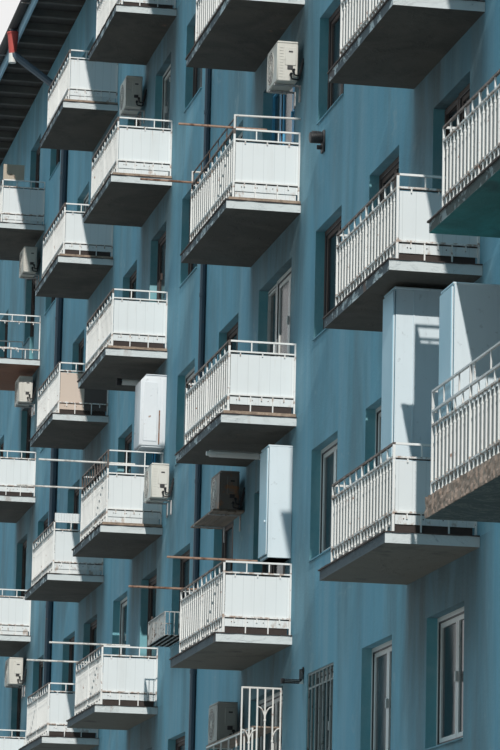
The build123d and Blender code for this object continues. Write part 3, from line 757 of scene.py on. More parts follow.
NODE_FINISHES = [
    (FRONT_PAINT, "front_wall back_wall left_end_wall right_end_wall"),
    (CONCRETE, "ground_slab floor_slabs attic_slab entrance_canopies"),
    (BEAM_WOOD, "eave_beams"), (BOARD_WOOD, "eave_boards"),
    (ROOF_PAINT, "front_roof_slope back_roof_slope ridge_cap"),
    (FASCIA_PAINT, "fascia_boards"), (DARK_METAL, "gutters"),
    (PIPE_METAL, "front_downpipes back_downpipes"),
    (SHEET_PAINT, "railing_sheets"), (PANE, "front_glass back_glass"),
    (DOOR_PAINT, "entrance_doors"), (COOLER, "air_coolers"), (ZINC, "cooler_brackets"),
    (SHELF, "cooler_shelf"), (CABINET, "balcony_cabinets"), (BOX_PAINT, "wall_box"),
    (FLUE_PAINT, "flue_pipes"), (BLACK_PLASTIC, "wall_lamp"),
    (IRON_PAINT, "cage_sides cage_front bent_tubes"), (RACK_PAINT, "window_rack"),
    (POLE, "clothes_poles"), (SCREEN, "balcony_screens"),
]
for letter in COLUMNS:
    NODE_FINISHES.append((SLAB_GREEN if letter == "f" else SLAB_PAINT, f"balcony_slabs_{letter}"))
    NODE_FINISHES.append((RAIL_PAINT, f"front_railings_{letter} side_railings_{letter}"))
for finish, nodes in NODE_FINISHES:
    for node in nodes.split():
        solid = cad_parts[node]
        solid.data.materials.clear()
        solid.data.materials.append(finish)


# Balcony railings, modelled about the middle of the front railing's foot
def arms(x, top, reach, drop):
    """A collar on a bar, and curved arms that rise from it to the rail above."""
    half = BAR / 2 + 0.0025
    foot = top - drop
    parts = [block("collar", (x - half, -half, foot - 0.006), (x + half, half, foot + 0.006))]
    for side in (-1, 1):
        parts.append(curved_arm((x, 0, foot), (side * reach, 0, 0), drop, (0, 30, 60, 90), 0.0034, 4))
    return parts


def hammered_bar(x, low, high):
    """A bar beaten flat: wide in its lower third and narrow at its head."""
    middle = low + (high - low) * 0.35
    bar = block("head_bar", (x - 0.004, -0.004, low), (x + 0.004, 0.004, middle))
    pick_faces(bar, UP)
    bpy.ops.transform.resize(value=(1.7, 1.3, 1))
    bpy.ops.mesh.extrude_region_move(TRANSFORM_OT_translate={"value": (0, 0, high - middle)})
    bpy.ops.transform.resize(value=(0.45, 0.6, 1))
    mode("OBJECT")
    return bar


def front_bars(width, foot, extra, stubs):
    """Bars between the posts of a front railing, tall and short in turn, each with its arms.

    Under a second handrail the bars either go on up to it, or every fourth has a stub.
    """
    pitch = (width - POST) / FRONT_BAYS
    half = BAR / 2
    first_post = -FRONT_BAYS / 2 * pitch
    groups = []
    for first, tall in ((1, False), (2, True)):
        x = first_post + first * pitch
        low = foot if tall else THIRD_RAIL - 0.058
        parts = [block("bar", (x - half, -half, low), (x + half, half, SECOND_RAIL))]
        parts += arms(x, SECOND_RAIL - RAIL, pitch * 0.5, 0.052)
        parts += arms(x, THIRD_RAIL - RAIL, pitch * 0.5, 0.05)
        if tall:
            parts.append(hammered_bar(x, SECOND_RAIL, HANDRAIL + (0 if stubs else extra) - RAIL))
        count = FRONT_BAYS // 2 - (1 if tall else 0)
        groups.append(repeated(joined("bars", parts), count, (2 * pitch, 0, 0)))
    if stubs:
        x = first_post + 3 * pitch
        stub = block("stub", (x - half, -half, HANDRAIL - RAIL), (x + half, half, HANDRAIL + extra - RAIL))
        groups.append(repeated(stub, 4, (4 * pitch, 0, 0)))
    return joined("front_bars", groups)


def side_bars(width, extra):
    """Short pieces of bar that show over and under the sheet of a side railing."""
    half = BAR / 2
    parts = []
    for i in range(1, SIDE_BAYS):
        y = i * width / SIDE_BAYS
        if i % 2 == 0:
            spans = ((SECOND_RAIL, HANDRAIL + extra - RAIL), (0, THIRD_RAIL - RAIL))
        else:
            spans = ((SECOND_RAIL - 0.032, SECOND_RAIL - RAIL), (THIRD_RAIL - 0.04, THIRD_RAIL - RAIL))
        for low, high in spans:
            parts.append(block("bar", (-half, y - half, low), (half, y + half, high)))
    return joined("side_bars", parts)


def railing_bars():
    """Each length of railing is modelled once and set on every balcony that has it."""
    patterns = {}
    for letter, (centre, length) in COLUMNS.items():
        parts = []
        for balcony, inset, reach, z in balconies(letter):
            extra = EXTRA_RAIL.get(balcony, 0)
            key = (round(length - 2 * inset, 4), KERB if balcony == KERBED else 0, extra)
            if key not in patterns:
                patterns[key] = (front_bars(*key, letter == "f"), side_bars(reach, extra))
            front, side = patterns[key]
            parts.append(copied(front, (centre, FACADE - reach, z)))
            for end in (-1, 1):
                x = centre + end * (length / 2 - inset - RAIL_DEPTH / 2)
                parts.append(copied(side, (x, FACADE - reach, z)))
        finished(joined(f"railing_bars_{letter}", parts), RAIL_PAINT)
    for pair in patterns.values():
        discard(pair)


def sheet_trim():
    """Strips under the side sheets or dark boards there as painted shade, their bolts, and dark strips under
    the rails as painted shadow.
    """
    strips, bolts, boards = [], [], []
    bolt = rod("bolt", (-0.002, 0, 0), (0.004, 0, 0), 0.0035, 6)
    for letter, (centre, length) in COLUMNS.items():
        for balcony, inset, reach, z in balconies(letter):
            if balcony == UNSHEETED:
                continue
            x = centre + length / 2 - inset - RAIL_DEPTH
            front = FACADE - reach
            for i in range(4):
                bolts.append(copied(bolt, (x, front + 0.06 + i * 0.11, z + 0.086)))
            corner = (x - 0.012, front + 0.016, z + 0.002)
            # Painted shade: where no white strip fills a sheet's foot, a dark board stands behind the gap
            board = block("board", corner, (x - 0.008, FACADE - 0.02, z + 0.06))
            (strips if balcony in FILLED_FOOT else boards).append(board)
            # Painted shadow: a dark strip under the second and third rails
            for rail in (SECOND_RAIL, THIRD_RAIL):
                low = z + rail - RAIL - 0.007
                rail_shadow = block("rail_shadow", (x - 0.001, front + 0.012, low), (x + 0.0015, FACADE - 0.01, low + 0.0065))
                boards.append(rail_shadow)
    discard([bolt])
    finished(joined("sheet_bolts", bolts), DARK_IRON)
    finished(joined("painted_shade_strips", boards), FELT_AND_SHADE)
    finished(joined("lower_sheet_strips", strips), SHEET_PAINT)


def slab_edges():
    """A torn strip of felt that lies on the edges of each slab and hangs a little over them."""
    patterns = {}
    for letter, (centre, length) in COLUMNS.items():
        half = length / 2
        if length not in patterns:
            low, high = (-half - 0.008, -0.01, -0.004), (half + 0.008, 0.016, 0.004)
            long = torn_strip(low, high, 34, 0.013, 0.11, length * 3)
            short = torn_strip((-0.008, -PROJECTION, -0.003), (0.014, 0, 0.003), 14, 0.010, 0.1, 2.0)
            patterns[length] = (long, short)
        long, short = patterns[length]
        parts = []
        for storey in BALCONY_STOREYS:
            if (letter, storey) == KERBED:
                continue
            z = floor_of(storey)
            parts.append(copied(long, (centre, FACADE - PROJECTION, z)))
            parts.append(copied(short, (centre + half - 0.006, FACADE - 0.002, z)))
            parts.append(copied(short, (centre - half, FACADE - 0.002, z)))
        finished(joined(f"edge_felt_{letter}", parts), FELT_AND_SHADE)
    for pair in patterns.values():
        discard(pair)


def crumbled_edge():
    """The broken front of the kerb on the nearest balcony."""
    centre, length = COLUMNS[KERBED[0]]
    middle = (centre, FACADE - PROJECTION - 0.001, floor_of(3) - 0.004)
    face = grid("crumbled_edge", middle, (length, 0.108), 90, 8, (pi / 2, 0, 0))
    finished(roughened(face, 0.035, 4, 0.03, 0.46), CRUMBLED)


def raised_tube():
    """The bent tube goes on along the front over the handrail, on short stubs."""
    centre, length = COLUMNS["d"]
    z = walk_of(("d", 5)) + HANDRAIL
    left, right = centre - length / 2 + SET_BACK + 0.01, centre + length / 2 - SET_BACK - 0.01
    y = FACADE - PROJECTION + SET_BACK + 0.007
    tube = rod("tube", (left, y, z + 0.085), (right, y, z + 0.085), 0.006)
    stub = rod("stub", (left, y, z - 0.005), (left, y, z + 0.085), 0.0045, 6)
    stubs = repeated(stub, 6, ((right - left) / 5, 0, 0))
    finished(joined("raised_front_tube", [tube, stubs]), DARK_IRON)


railing_bars()
sheet_trim()
slab_edges()
crumbled_edge()
raised_tube()


# Windows and doors, modelled about the middle of the sill on the wall's face
def window_frame(width, height, sashes):
    """An outer frame with its sashes, hinges and a handle, in an opening seen from -Y."""
    left, right = -width / 2, width / 2
    front = REVEAL - 0.010
    parts = [ring("frame", (left, front, 0), (right, front, height), FRAME_BAR, 0.05)]
    sash = (width - 2 * SASH_BAR) / sashes
    for i in range(sashes):
        start = left + SASH_BAR + i * sash
        low, high = (start + 0.002, REVEAL, 0.03), (start + sash - 0.002, REVEAL, height - 0.03)
        parts.append(ring("sash", low, high, SASH_BAR, 0.03))
    for z in (height * 0.2, height * 0.78):
        low = (right - 0.036, front - 0.008, z)
        parts.append(block("hinge", low, (right - 0.024, REVEAL, z + 0.04), 0.002))
    low, high = (0.026, REVEAL - 0.022, height * 0.46), (0.038, REVEAL - 0.002, height * 0.54)
    parts.append(block("handle", low, high, 0.003))
    return joined("window_frame", parts)


def door_leaf(width, height):
    """A balcony door: a frame, a lower panel and a glazed upper part."""
    left, right = -width / 2, width / 2
    front = REVEAL - 0.008
    rail, knob = SILL - 0.062, right - 0.029
    start, end = left + 0.04, right - 0.04
    parts = [
        ring("frame", (left, REVEAL, 0), (right, REVEAL, height), 0.02, 0.045),
        ring("leaf", (left + 0.014, front, 0.014), (right - 0.014, front, height - 0.014), 0.034, 0.03),
        block("panel", (start, REVEAL + 0.004, 0.04), (end, REVEAL + 0.02, SILL - 0.06), 0.008),
        block("rail", (start, REVEAL - 0.006, rail), (end, REVEAL + 0.024, rail + 0.044), 0.004),
        block("plate", (right - 0.036, REVEAL - 0.014, 0.48), (right - 0.022, REVEAL - 0.007, 0.56), 0.002),
        rod("handle", (knob, REVEAL - 0.028, 0.53), (knob - 0.056, REVEAL - 0.028, 0.53), 0.004, 6),
    ]
    return joined("door_leaf", parts)


def pane(width, height):
    side = width / 2 - PANE_MARGIN
    low = (-side, REVEAL + 0.010, PANE_MARGIN)
    return block("pane", low, (side, REVEAL + 0.018, height - PANE_MARGIN))


def seals_and_gap_shade(width, height):
    """A black ring between a frame and its sashes: a seal, and painted shade in the gap."""
    side, y = width / 2 - FRAME_BAR, REVEAL - 0.009
    return ring("seal_and_gap_shade", (-side, y, FRAME_BAR), (side, y, height - FRAME_BAR), 0.008, 0.012)


def window_sill(width):
    """A folded metal sill that slopes out of the opening."""
    sill = block("sill", (-width / 2, -0.012, -0.002), (width / 2, REVEAL, 0.006))
    pick_faces(sill, OUT)
    bpy.ops.transform.translate(value=(0, 0, -0.006))
    mode("OBJECT")
    return sill


def front_openings():
    """Kind of frame, shape, width, sashes and place of each window and balcony door."""
    for number, x in enumerate(FRONT_WINDOWS):
        for storey in STOREYS:
            white = (x > 5 and storey < 4) or (number * 3 + storey * 5) % 4 == 0
            yield "white" if white else "timber", "window", WINDOW, 2, x, floor_of(storey) + SILL
    for letter, (x, width, side) in UNITS.items():
        for storey in STOREYS:
            unit = (letter, storey)
            kind = "blue" if unit in BLUE_UNITS else "timber"
            if storey < 3 or unit in WHITE_UNITS:
                kind = "white"
            if storey not in BALCONY_STOREYS:
                yield kind, "window", width, 2, x, floor_of(storey) + SILL
                continue
            beside = width - LEAF
            yield kind, "door", LEAF, 1, x + side * beside / 2, floor_of(storey)
            sashes = 1 if width < 1 else 2
            yield kind, "window", beside, sashes, x - side * LEAF / 2, floor_of(storey) + SILL


def front_windows():
    """White, old timber and blue frames, with their sills, their seals with painted shade in the gaps, and
    the glass.
    """
    patterns = {}
    panes, seals_and_shades, sills = [], [], []
    for wanted, paint in (("white", WHITE_FRAME), ("timber", OLD_FRAME), ("blue", BLUE_FRAME)):
        frames = []
        for kind, shape, width, sashes, x, z in front_openings():
            if kind != wanted:
                continue
            key = (shape, round(width, 4), sashes)
            window = shape == "window"
            if key not in patterns:
                height = HEAD - SILL if window else HEAD
                body = window_frame(width, height, sashes) if window else door_leaf(width, height)
                patterns[key] = (body, pane(width, height), seals_and_gap_shade(width, height), window_sill(width))
            groups = (frames, panes, seals_and_shades, sills) if window else (frames, panes, seals_and_shades)
            for group, piece in zip(groups, patterns[key]):
                group.append(copied(piece, (x, FACADE, z)))
        finished(joined(f"{wanted}_window_frames", frames), paint)
    finished(joined("front_panes", panes), PANE, "front_glass")
    finished(joined("window_sills", sills), FRONT_PAINT)
    finished(joined("window_seals_and_gap_shade", seals_and_shades), BLACK_PLASTIC)
    for pieces in patterns.values():
        discard(pieces)


def back_windows():
    """The same windows on the back, turned to face the other way."""
    height = HEAD - SILL
    places = []
    for x in BACK_WINDOWS:
        for storey in STOREYS:
            if storey > 1 or x not in ENTRANCES:
                places.append((x, BACK, floor_of(storey) + SILL))
    groups = []
    for piece in (window_frame(WINDOW, height, 2), pane(WINDOW, height), window_sill(WINDOW)):
        piece.data.transform(Matrix.Rotation(pi, 4, "Z"))
        groups.append(spread(piece, places))
    frames, panes, sills = groups
    finished(joined("back_window_frames", frames), WHITE_FRAME)
    finished(joined("back_panes", panes), PANE, "back_glass")
    finished(joined("back_window_sills", sills), ZINC)


def window_bars():
    """A welded grille before the window beside the cage."""
    low, high = floor_of(2) + SILL, floor_of(2) + HEAD
    y = FACADE + 0.012
    left, right = GRILLE_X - WINDOW / 2, GRILLE_X + WINDOW / 2
    bar = rod("bar", (left + GRILLE_SPACING, y, low), (left + GRILLE_SPACING, y, high), 0.008, 6)
    parts = [
        ring("rim", (left, y - 0.006, low), (right, y - 0.006, high), 0.014, 0.012),
        repeated(bar, 6, (GRILLE_SPACING, 0, 0)),
    ]
    for z in (low + 0.1, high - 0.1):
        parts.append(block("cross", (left, y - 0.003, z - 0.006), (right, y + 0.003, z + 0.006)))
    finished(joined("window_grille", parts), GRILLE_PAINT)


front_windows()
back_windows()
window_bars()


# Coolers
def cooler():
    """Outdoor unit: folded case, fan behind a round guard, side cover, valves and their pipes."""
    w, d, h = COOLER_SIZE
    right = w / 2
    slat = block("slat", (right - 0.005, -d + 0.018, 0.03), (right - 0.001, -d + 0.046, 0.034))
    case = joined("case", [
        block("case", (-right + 0.002, -d + 0.006, 0.003), (right - 0.004, 0, h - 0.012), 0.006),
        block("lid", (-right, -d + 0.002, h - 0.016), (right, 0, h), 0.005),
        block("cover", (right - 0.006, -d * 0.62, h * 0.40), (right + 0.001, -0.014, h * 0.86), 0.003),
        block("front", (-right + 0.002, -d, 0.006), (right - 0.004, -d + 0.008, h - 0.018), 0.003),
        repeated(slat, 11, (0, 0, 0.021)),
    ])
    middle = Vector((-0.045, -d - 0.001, h * 0.49))
    guard = [hoop("guard", middle, radius, 0.0016) for radius in GUARD_RINGS]
    for turn in range(0, 180, 30):
        reach = GUARD_RINGS[-1] * Vector((cos(radians(turn)), 0, sin(radians(turn))))
        guard.append(rod("spoke", middle - reach, middle + reach, 0.0014, 4))
    guard.append(rod("hub", middle + 0.003 * OUT, middle - 0.003 * OUT, 0.022, 12))
    dark = [
        rod("fan_well", middle - 0.002 * OUT, middle - 0.0002 * OUT, FAN_RADIUS, 28),
        block("handle", (right, -d * 0.45, h * 0.72), (right + 0.002, -d * 0.25, h * 0.76)),
        block(
            "cable_entry", (right - 0.004, -d * 0.5, h * 0.30), (right + 0.003, -d * 0.24, h * 0.40), 0.002
        ),
    ]
    pipes = []
    for y, z in ((-0.05, 0.05), (-0.032, 0.08)):
        pipes.append(rod("valve", (right - 0.004, y, z), (right + 0.022, y, z), 0.010, 8))
        points = [
            (right + 0.018, y, z), (right + 0.018, y, z - 0.035),
            (right + 0.014, 0.004, z - 0.04), (right + 0.006, 0.036, z + 0.09),
        ]
        pipes.append(swept("pipe", points, 0.006, 6, 0.012))
    return case, joined("guards", guard), joined("wells", dark), joined("valves", pipes)


def coolers():
    case, guard, dark, pipes = cooler()
    places = [(x, COOLER_BACK, z) for x, z in COOLERS]
    for name, group, paint in (("dark_brown_cooler_case", places[-1:], DARK_BROWN_COOLER),
                               ("shaded_cooler_case", places[-2:-1], SHADED_COOLER),
                               ("cooler_cases", places[:-2], COOLER)):
        cases = joined(name, [copied(case, place) for place in group])
        finished(rounded(cases), paint, "air_coolers")
    discard([case])
    finished(joined("cooler_guards", spread(guard, places)), COOLER)
    finished(joined("cooler_fan_wells", spread(dark, places)), BLACK_PLASTIC)
    finished(rounded(joined("cooler_valves", spread(pipes, places))), DARK_METAL)


coolers()


# Cabinets, box, flues and lamp
def cabinet(low, high):
    """A folded sheet case with a cap, a door leaf on its front, hinges and a knob."""
    x0, y0, z0 = low
    x1, y1, z1 = high
    parts = [
        block("case", (x0 + 0.002, y0 + 0.016, z0), (x1 - 0.002, y1, z1 - 0.012), 0.003),
        block("cap", (x0, y0 + 0.006, z1 - 0.014), (x1, y1, z1), 0.004),
        block("leaf", (x0 + 0.004, y0, z0 + 0.02), (x1 - 0.004, y0 + 0.013, z1 - 0.022), 0.004),
        block("flange", (x1 - 0.003, y0 + 0.015, z0), (x1, y0 + 0.022, z1 - 0.012), 0.001),
        block("plinth", (x0 + 0.01, y0 + 0.03, z0), (x1 - 0.01, y1, z0 + 0.02)),
    ]
    x, y = x0 + 0.006, y0 + 0.008
    for share in (0.15, 0.5, 0.85):
        z = z0 + share * (z1 - z0)
        parts.append(rod("hinge", (x, y, z - 0.02), (x, y, z + 0.02), 0.005))
    x, z = x1 - 0.03, z0 + 0.32 * (z1 - z0)
    parts.append(rod("knob", (x, y0 - 0.010, z), (x, y0 + 0.002, z), 0.009, 10))
    return parts


def cabinets():
    parts = []
    for low, high in CABINETS:
        parts += cabinet(low, high)
    (x0, y0, z0), (x1, y1, z1) = CABINETS[1]
    parts.append(block("seam", (x1 - 0.002, y0 + 0.115, z0), (x1 + 0.002, y0 + 0.122, z1 - 0.015)))
    finished(rounded(joined("cabinet_cases", parts)), CABINET, "balcony_cabinets")


def wall_box():
    """A closed metal box with a sloping shoulder, a door leaf on its near side and a rain lip."""
    (x0, y0, z0), (x1, y1, z1) = WALL_BOX
    case = block("case", (x0, y0, z0), (x1 - 0.006, y1, z1))
    pick_faces(case, OUT)
    bpy.ops.mesh.subdivide(number_cuts=1)
    mode("OBJECT")
    for vertex in case.data.vertices:
        if vertex.co.y < y0 + 0.001 and vertex.co.z > z1 - 0.001:
            vertex.co.y += 0.045
        elif vertex.co.y < y0 + 0.001 and abs(vertex.co.z - (z0 + z1) / 2) < 0.01:
            vertex.co.z = z1 - 0.05
    shaped(case, "BEVEL", width=0.004, segments=2)
    parts = [
        case,
        block("leaf", (x1 - 0.007, y0 + 0.030, z0 + 0.035), (x1, y1 - 0.075, z1 - 0.062), 0.003),
        block("lip", (x0 - 0.004, y0 + 0.043, z1 - 0.004), (x1 + 0.004, y1, z1 + 0.004), 0.002),
        block("foot_rail", (x0 + 0.02, y0 + 0.02, z0 - 0.014), (x1 - 0.02, y1, z0 + 0.002), 0.002),
        block("latch", (x0 + 0.02, y0, z0 + 0.28), (x0 + 0.05, y0 + 0.004, z0 + 0.34), 0.002),
        block("fold", (x1 - 0.006, y0 + 0.012, z0 + 0.01), (x1 - 0.001, y0 + 0.018, z1 - 0.05), 0.001),
        block("fold", (x1 - 0.006, y1 - 0.030, z0 + 0.01), (x1 - 0.001, y1 - 0.024, z1 - 0.02), 0.001),
    ]
    for z in (z0 + 0.11, z0 + 0.47):
        parts.append(rod("hinge", (x1, y1 - 0.078, z - 0.02), (x1, y1 - 0.078, z + 0.02), 0.005))
    finished(rounded(joined("wall_box_case", parts)), BOX_PAINT, "wall_box")
    low, high = (x1 - 0.005, y1 - 0.060, z0 + 0.01), (x1 + 0.002, y1 - 0.050, z0 + 0.30)
    finished(block("rust_strip", low, high, 0.001), RUSTY_STRIP)


def out_rod(name, x, z, start, end, radius, sides):
    """A rod that stands out from the front, between two distances from it."""
    return rod(name, (x, FACADE - start, z), (x, FACADE - end, z), radius, sides)


def flue_trim():
    """Collars at the wall and stepped caps at the outer ends of the flues."""
    parts = []
    for x, z, reach in FLUES:
        parts += [
            out_rod("collar", x, z, 0, 0.014, 0.038, 20),
            out_rod("cap", x, z, reach - 0.001, reach + 0.022, 0.017, 16),
            out_rod("band", x, z, reach - 0.03, reach - 0.012, 0.0265, 20),
            out_rod("joint", x, z, 0.1, 0.115, 0.0262, 20),
        ]
    finished(rounded(joined("flue_caps", parts)), FLUE_PAINT)
    x, z, reach = FLUES[-1]
    cowl = out_rod("flue_cowl", x, z, reach, reach + 0.045, 0.031, 16)
    finished(rounded(shaped(cowl, "BEVEL", width=0.006, segments=2)), DARK_METAL)
    x, z = ELBOW
    near, far = FACADE - 0.014, FACADE - 0.15
    elbow = [
        out_rod("rose", x, z + 0.075, 0, 0.008, 0.024, 14),
        out_rod("cowl", x, z, 0.13, 0.152, 0.018, 12),
        swept("pipe", [(x, near, z + 0.082), (x, near, z), (x, far, z)], 0.0155, 10, 0.02),
    ]
    finished(rounded(joined("elbow_flue_pipe", elbow)), DARK_METAL)


def lamp_body():
    """A floodlight with cooling ribs on a tall back plate."""
    x, z0, z1 = LAMP
    body = rod("body", (x, FACADE - 0.014, z1 - 0.045), (x, FACADE - 0.100, z1 - 0.052), 0.038, 20)
    parts = [
        block("plate", (x - 0.04, FACADE - 0.016, z0), (x + 0.04, FACADE, z1), 0.004),
        shaped(body, "BEVEL", width=0.008, segments=2),
    ]
    for i in range(5):
        y = FACADE - 0.026 - i * 0.013
        parts.append(rod("rib", (x, y, z1 - 0.046), (x, y - 0.004, z1 - 0.0463), 0.0435, 20))
    low, high = (x - 0.006, FACADE - 0.05, z0 + 0.02), (x + 0.006, FACADE - 0.012, z0 + 0.05)
    parts.append(block("arm", low, high, 0.003))
    finished(rounded(joined("lamp_body", parts)), BLACK_PLASTIC, "wall_lamp")


cabinets()
wall_box()
flue_trim()
lamp_body()


# Cage, rack, shelf and screens
def cage_ornament():
    """Collars with curved arms on the bars of the cage's tall near panel."""
    x, top = CAGE_SIDE, floor_of(2) + 1.175
    parts = []
    pair = (-1, 1)
    collars = [
        (3, 0.224, 0.094, pair), (1, 0.38, 0.09, pair), (4, 0.365, 0.09, (1,)),
        (3, 0.54, 0.09, pair), (1, 0.66, 0.09, pair),
    ]
    for bar, drop, rise, sides in collars:
        y = FACADE - 0.275 + bar * CAGE_BAR_SPACING
        z = top - drop
        low, high = (x - 0.008, y - 0.008, z - 0.008), (x + 0.008, y + 0.008, z + 0.008)
        parts.append(block("collar", low, high, 0.002))
        for side in sides:
            parts.append(curved_arm((x, y, z), (0, side * 0.05, 0), rise, (0, 22, 45, 67, 90), 0.0045, 6))
    low, high = (x - 0.007, FACADE - 0.28, top - 0.008), (x + 0.007, FACADE, top + 0.002)
    parts.append(block("head", low, high, 0.002))
    finished(rounded(joined("cage_ornament", parts)), IRON_PAINT)


def rack_bars():
    """Upright bars and a slatted floor in the rack under the window."""
    low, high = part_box("window_rack")
    parts = []
    rows = [(low.x + 0.05, low.y + 0.004, 14, (0.054, 0, 0))]
    rows += [(x, low.y + 0.04, 4, (0, 0.04, 0)) for x in (low.x + 0.004, high.x - 0.004)]
    for x, y, count, step in rows:
        parts.append(repeated(rod("bar", (x, y, low.z), (x, y, high.z), 0.0035, 5), count, step))
    slat = block("slat", (low.x, low.y + 0.01, low.z), (high.x, low.y + 0.035, low.z + 0.006))
    parts.append(repeated(slat, 4, (0, 0.045, 0)))
    finished(joined("rack_bars", parts), RACK_PAINT)


def shelf_planks():
    """Loose planks with gaps on the shelf's irons, and the boards of the ledge over the cage."""
    parts = []
    for i in range(4):
        y = FACADE - 0.24 + i * 0.06
        left, right = SHELF_ENDS[0] + 0.012 * (i % 2), SHELF_ENDS[1] - 0.015 * (i % 3)
        low, high = (left, y + 0.002, SHELF_TOP - 0.014), (right, y + 0.057, SHELF_TOP)
        parts.append(block("plank", low, high, 0.002))
    for i in range(3):
        y = FACADE - 0.2 + i * 0.067
        low, high = (LEDGE_ENDS[0], y + 0.001, LEDGE_TOP - 0.012), (LEDGE_ENDS[1], y + 0.064, LEDGE_TOP)
        parts.append(block("plank", low, high, 0.002))
    finished(joined("shelf_planks", parts), SHELF, "cooler_shelf")


def screen_boards():
    """Ribbed boards over the side handrails."""
    for name, balcony, height, paint in (("tan_screen", ("a", 7), 0.17, SCREEN),
                                         ("white_screen", ("b", 4), 0.075, SHEET_PAINT)):
        centre, length = COLUMNS[balcony[0]]
        x = centre + length / 2 - SET_BACK - RAIL_DEPTH / 2
        y = FACADE - PROJECTION + SET_BACK
        z = walk_of(balcony) + HANDRAIL
        board = block("board", (x - 0.002, y + 0.002, z + 0.002), (x + 0.002, y + 0.233, z + height))
        low, high = (x + 0.001, y + 0.01, z + 0.004), (x + 0.004, y + 0.018, z + height - 0.002)
        rib = block("rib", low, high, 0.001)
        boards = joined(name, [board, repeated(rib, 9, (0, 0.026, 0))])
        finished(boards, paint, "balcony_screens")


cage_ornament()
rack_bars()
shelf_planks()
screen_boards()


# Eaves, gutters and roof
def roof_ribs():
    """Standing seams on both slopes."""
    for side, name in ((-1, "front"), (1, "back")):
        z = RIDGE - SLOPE_MIDDLE * tan(ROOF_SLOPE) + 0.018
        middle = Vector((-ROOF_LENGTH / 2, side * SLOPE_MIDDLE, z))
        size = Vector((0.02, HALF_RUN / cos(ROOF_SLOPE), 0.03))
        turn = (side * -ROOF_SLOPE, 0, 0)
        rib = block(f"{name}_roof_ribs", middle - size / 2, middle + size / 2, 0.004, turn)
        finished(repeated(rib, ROOF_RIBS, (ROOF_LENGTH / (ROOF_RIBS - 1), 0, 0)), ROOF_PAINT)


def eave_trim():
    """Gutter brackets, pipe collars, and the hopper with its sleeve under the front gutter."""
    parts = []
    for side in (-1, 1):
        y = side * GUTTER_LINE
        x0, x1 = FIRST_BRACKET, FIRST_BRACKET + 0.015
        bracket = block("bracket", (x0, y - 0.046, GUTTER_FOOT - 0.005), (x1, y + 0.046, GUTTER_FOOT))
        y -= side * 0.05
        strap = block("strap", (x0, y - 0.002, GUTTER_FOOT), (x1, y + 0.002, GUTTER_FOOT + 0.043))
        for piece in (bracket, strap):
            parts.append(repeated(piece, GUTTER_BRACKETS, (BRACKET_SPACING, 0, 0)))
    finished(joined("gutter_brackets", parts), ZINC)
    collars = []
    for x, radius, side in PIPES:
        y = side * (3.0003 + radius)
        low, high = min(y, side * BACK), max(y, side * BACK)
        for storey in STOREYS:
            z = floor_of(storey) + 0.1
            collars.append(rod("collar", (x, y, z), (x, y, z + 0.03), radius + 0.005, 12))
            collars.append(block("lug", (x - 0.012, low, z + 0.006), (x + 0.012, high, z + 0.024)))
    finished(joined("pipe_collars", collars), PIPE_METAL)
    x, y = HOPPER_X, -GUTTER_LINE
    funnel = rod("rain_hopper", (x, y, 11.02), (x, y, 11.26), 0.062, 14)
    pick_faces(funnel, -UP)
    bpy.ops.transform.resize(value=(0.62, 0.62, 1))
    mode("OBJECT")
    rim = rod("rim", (x, y, 11.245), (x, y, 11.262), 0.068, 14)
    finished(rounded(joined("rain_hopper", [funnel, rim])), RED_PAINT)
    finished(rounded(rod("sleeve", (x, y, 10.93), (x, y, 11.03), 0.040, 14)), FLUE_PAINT)


def entrances():
    """Double doors with moulded panels and a pull; a drip edge round each canopy."""
    parts, drips = [], []
    low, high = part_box("entrance_doors")
    y, foot, head = high.y, low.z, high.z
    for x in ENTRANCES:
        left, right = x - 0.31, x + 0.31
        parts.append(ring("frame", (left, y, foot), (right, y, head), 0.03, 0.06, 1))
        for start in (left + 0.028, x + 0.002):
            end = start + 0.28
            corner = (start, low.y + 0.006, foot + 0.008)
            parts.append(block("leaf", corner, (end, y - 0.016, head - 0.03), 0.003))
            for z0, z1 in ((foot + 0.04, foot + 0.36), (foot + 0.40, foot + 0.90)):
                mould = ((start + 0.035, y - 0.008, z0), (end - 0.035, y - 0.008, z1))
                panel = ((start + 0.06, y - 0.02, z0 + 0.025), (end - 0.06, y - 0.010, z1 - 0.025))
                parts += [ring("moulding", *mould, 0.014, 0.010, 1), block("panel", *panel, 0.006)]
        pull = x + 0.02
        parts.append(rod("pull", (pull, y + 0.018, foot + 0.45), (pull, y + 0.018, foot + 0.6), 0.006))
        for z in (foot + 0.46, foot + 0.59):
            parts.append(rod("stub", (pull, y - 0.018, z), (pull, y + 0.02, z), 0.004, 6))
        drips.append(block("drip", (x - 0.652, BACK, 1.256), (x + 0.652, BACK + 0.452, 1.264), 0.002))
    finished(joined("entrance_leaves", parts), DOOR_PAINT, "entrance_doors")
    finished(joined("canopy_drips", drips), ZINC)


roof_ribs()
eave_trim()
entrances()


# Light, floor and camera
def lamp(name, towards, strength, spread_angle, colour=(1, 1, 1)):
    """A far lamp that shines from the direction given."""
    light = bpy.data.lights.new(name, "SUN")
    light.energy = strength
    light.angle = radians(spread_angle)
    light.color = colour
    made = bpy.data.objects.new(name, light)
    made.rotation_euler = Vector(towards).to_track_quat("Z", "Y").to_euler()
    bpy.context.collection.objects.link(made)


lamp("key_light", (1, -0.134, 0.63), 2.95, 0.6, (1, 0.97, 0.92))
lamp("front_fill", (-0.05, -0.66, 0.75), 0.72, 30, (0.58, 0.85, 1))
lamp("back_fill", (-0.6, 0.8, 0.4), 1.3, 60)

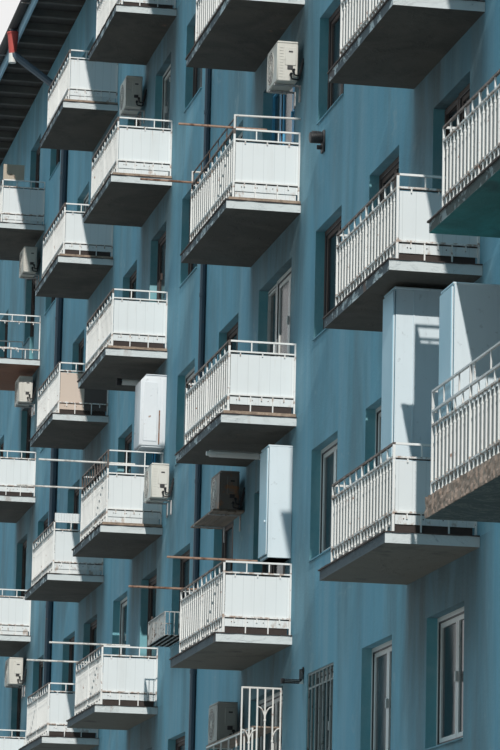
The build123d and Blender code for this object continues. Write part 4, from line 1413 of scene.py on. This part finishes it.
# The background is pale where it is seen or mirrored, and a soft blue light elsewhere
world = bpy.data.worlds.new("studio")
bpy.context.scene.world = world
world.use_nodes = True
nodes, links = world.node_tree.nodes, world.node_tree.links
path = nodes.new("ShaderNodeLightPath")
seen = path.outputs["Is Camera Ray"]
for ray in ("Is Transmission Ray", "Is Glossy Ray"):
    either = nodes.new("ShaderNodeMath")
    either.operation = "MAXIMUM"
    links.new(seen, either.inputs[0])
    links.new(path.outputs[ray], either.inputs[1])
    seen = either.outputs[0]
strength = nodes.new("ShaderNodeMapRange")
strength.inputs["To Min"].default_value = 0.22
strength.inputs["To Max"].default_value = 0.88
tint = nodes.new("ShaderNodeMix")
tint.data_type = "RGBA"
tint.inputs[6].default_value = (0.42, 0.80, 1, 1)
tint.inputs[7].default_value = (1, 1, 1, 1)
links.new(seen, strength.inputs["Value"])
links.new(seen, tint.inputs["Factor"])
links.new(strength.outputs["Result"], nodes["Background"].inputs["Strength"])
links.new(tint.outputs[2], nodes["Background"].inputs["Color"])

clear_selection()
bpy.ops.mesh.primitive_circle_add(vertices=96, radius=400, fill_type="NGON", location=(0, 0, -0.001))
studio = named("studio_floor")
studio.data.materials.append(plain_floor("pale_floor", (0.76, 0.75, 0.73), 0.35))

CAMERA_PLACE = Vector((28.097, -7.749, 0.787))
AZIMUTH, ELEVATION, ROLL = (radians(v) for v in (79.172, 10.811, 1.2965))
LENS = 167.91
camera_data = bpy.data.cameras.new("camera")
camera_data.lens = LENS
camera_data.sensor_width = 36
camera_data.clip_start = 0.5
camera_data.clip_end = 1000
camera = bpy.data.objects.new("camera", camera_data)
bpy.context.collection.objects.link(camera)
look = Vector((-sin(AZIMUTH) * cos(ELEVATION), cos(AZIMUTH) * cos(ELEVATION), sin(ELEVATION)))
level = Vector((cos(AZIMUTH), sin(AZIMUTH), 0))
upright = level.cross(look)
right = cos(ROLL) * level + sin(ROLL) * upright
up = -sin(ROLL) * level + cos(ROLL) * upright
camera.matrix_world = Matrix.Translation(CAMERA_PLACE) @ Matrix((right, up, -look)).transposed().to_4x4()
bpy.context.scene.camera = camera
bpy.context.scene.view_settings.view_transform = "Standard"
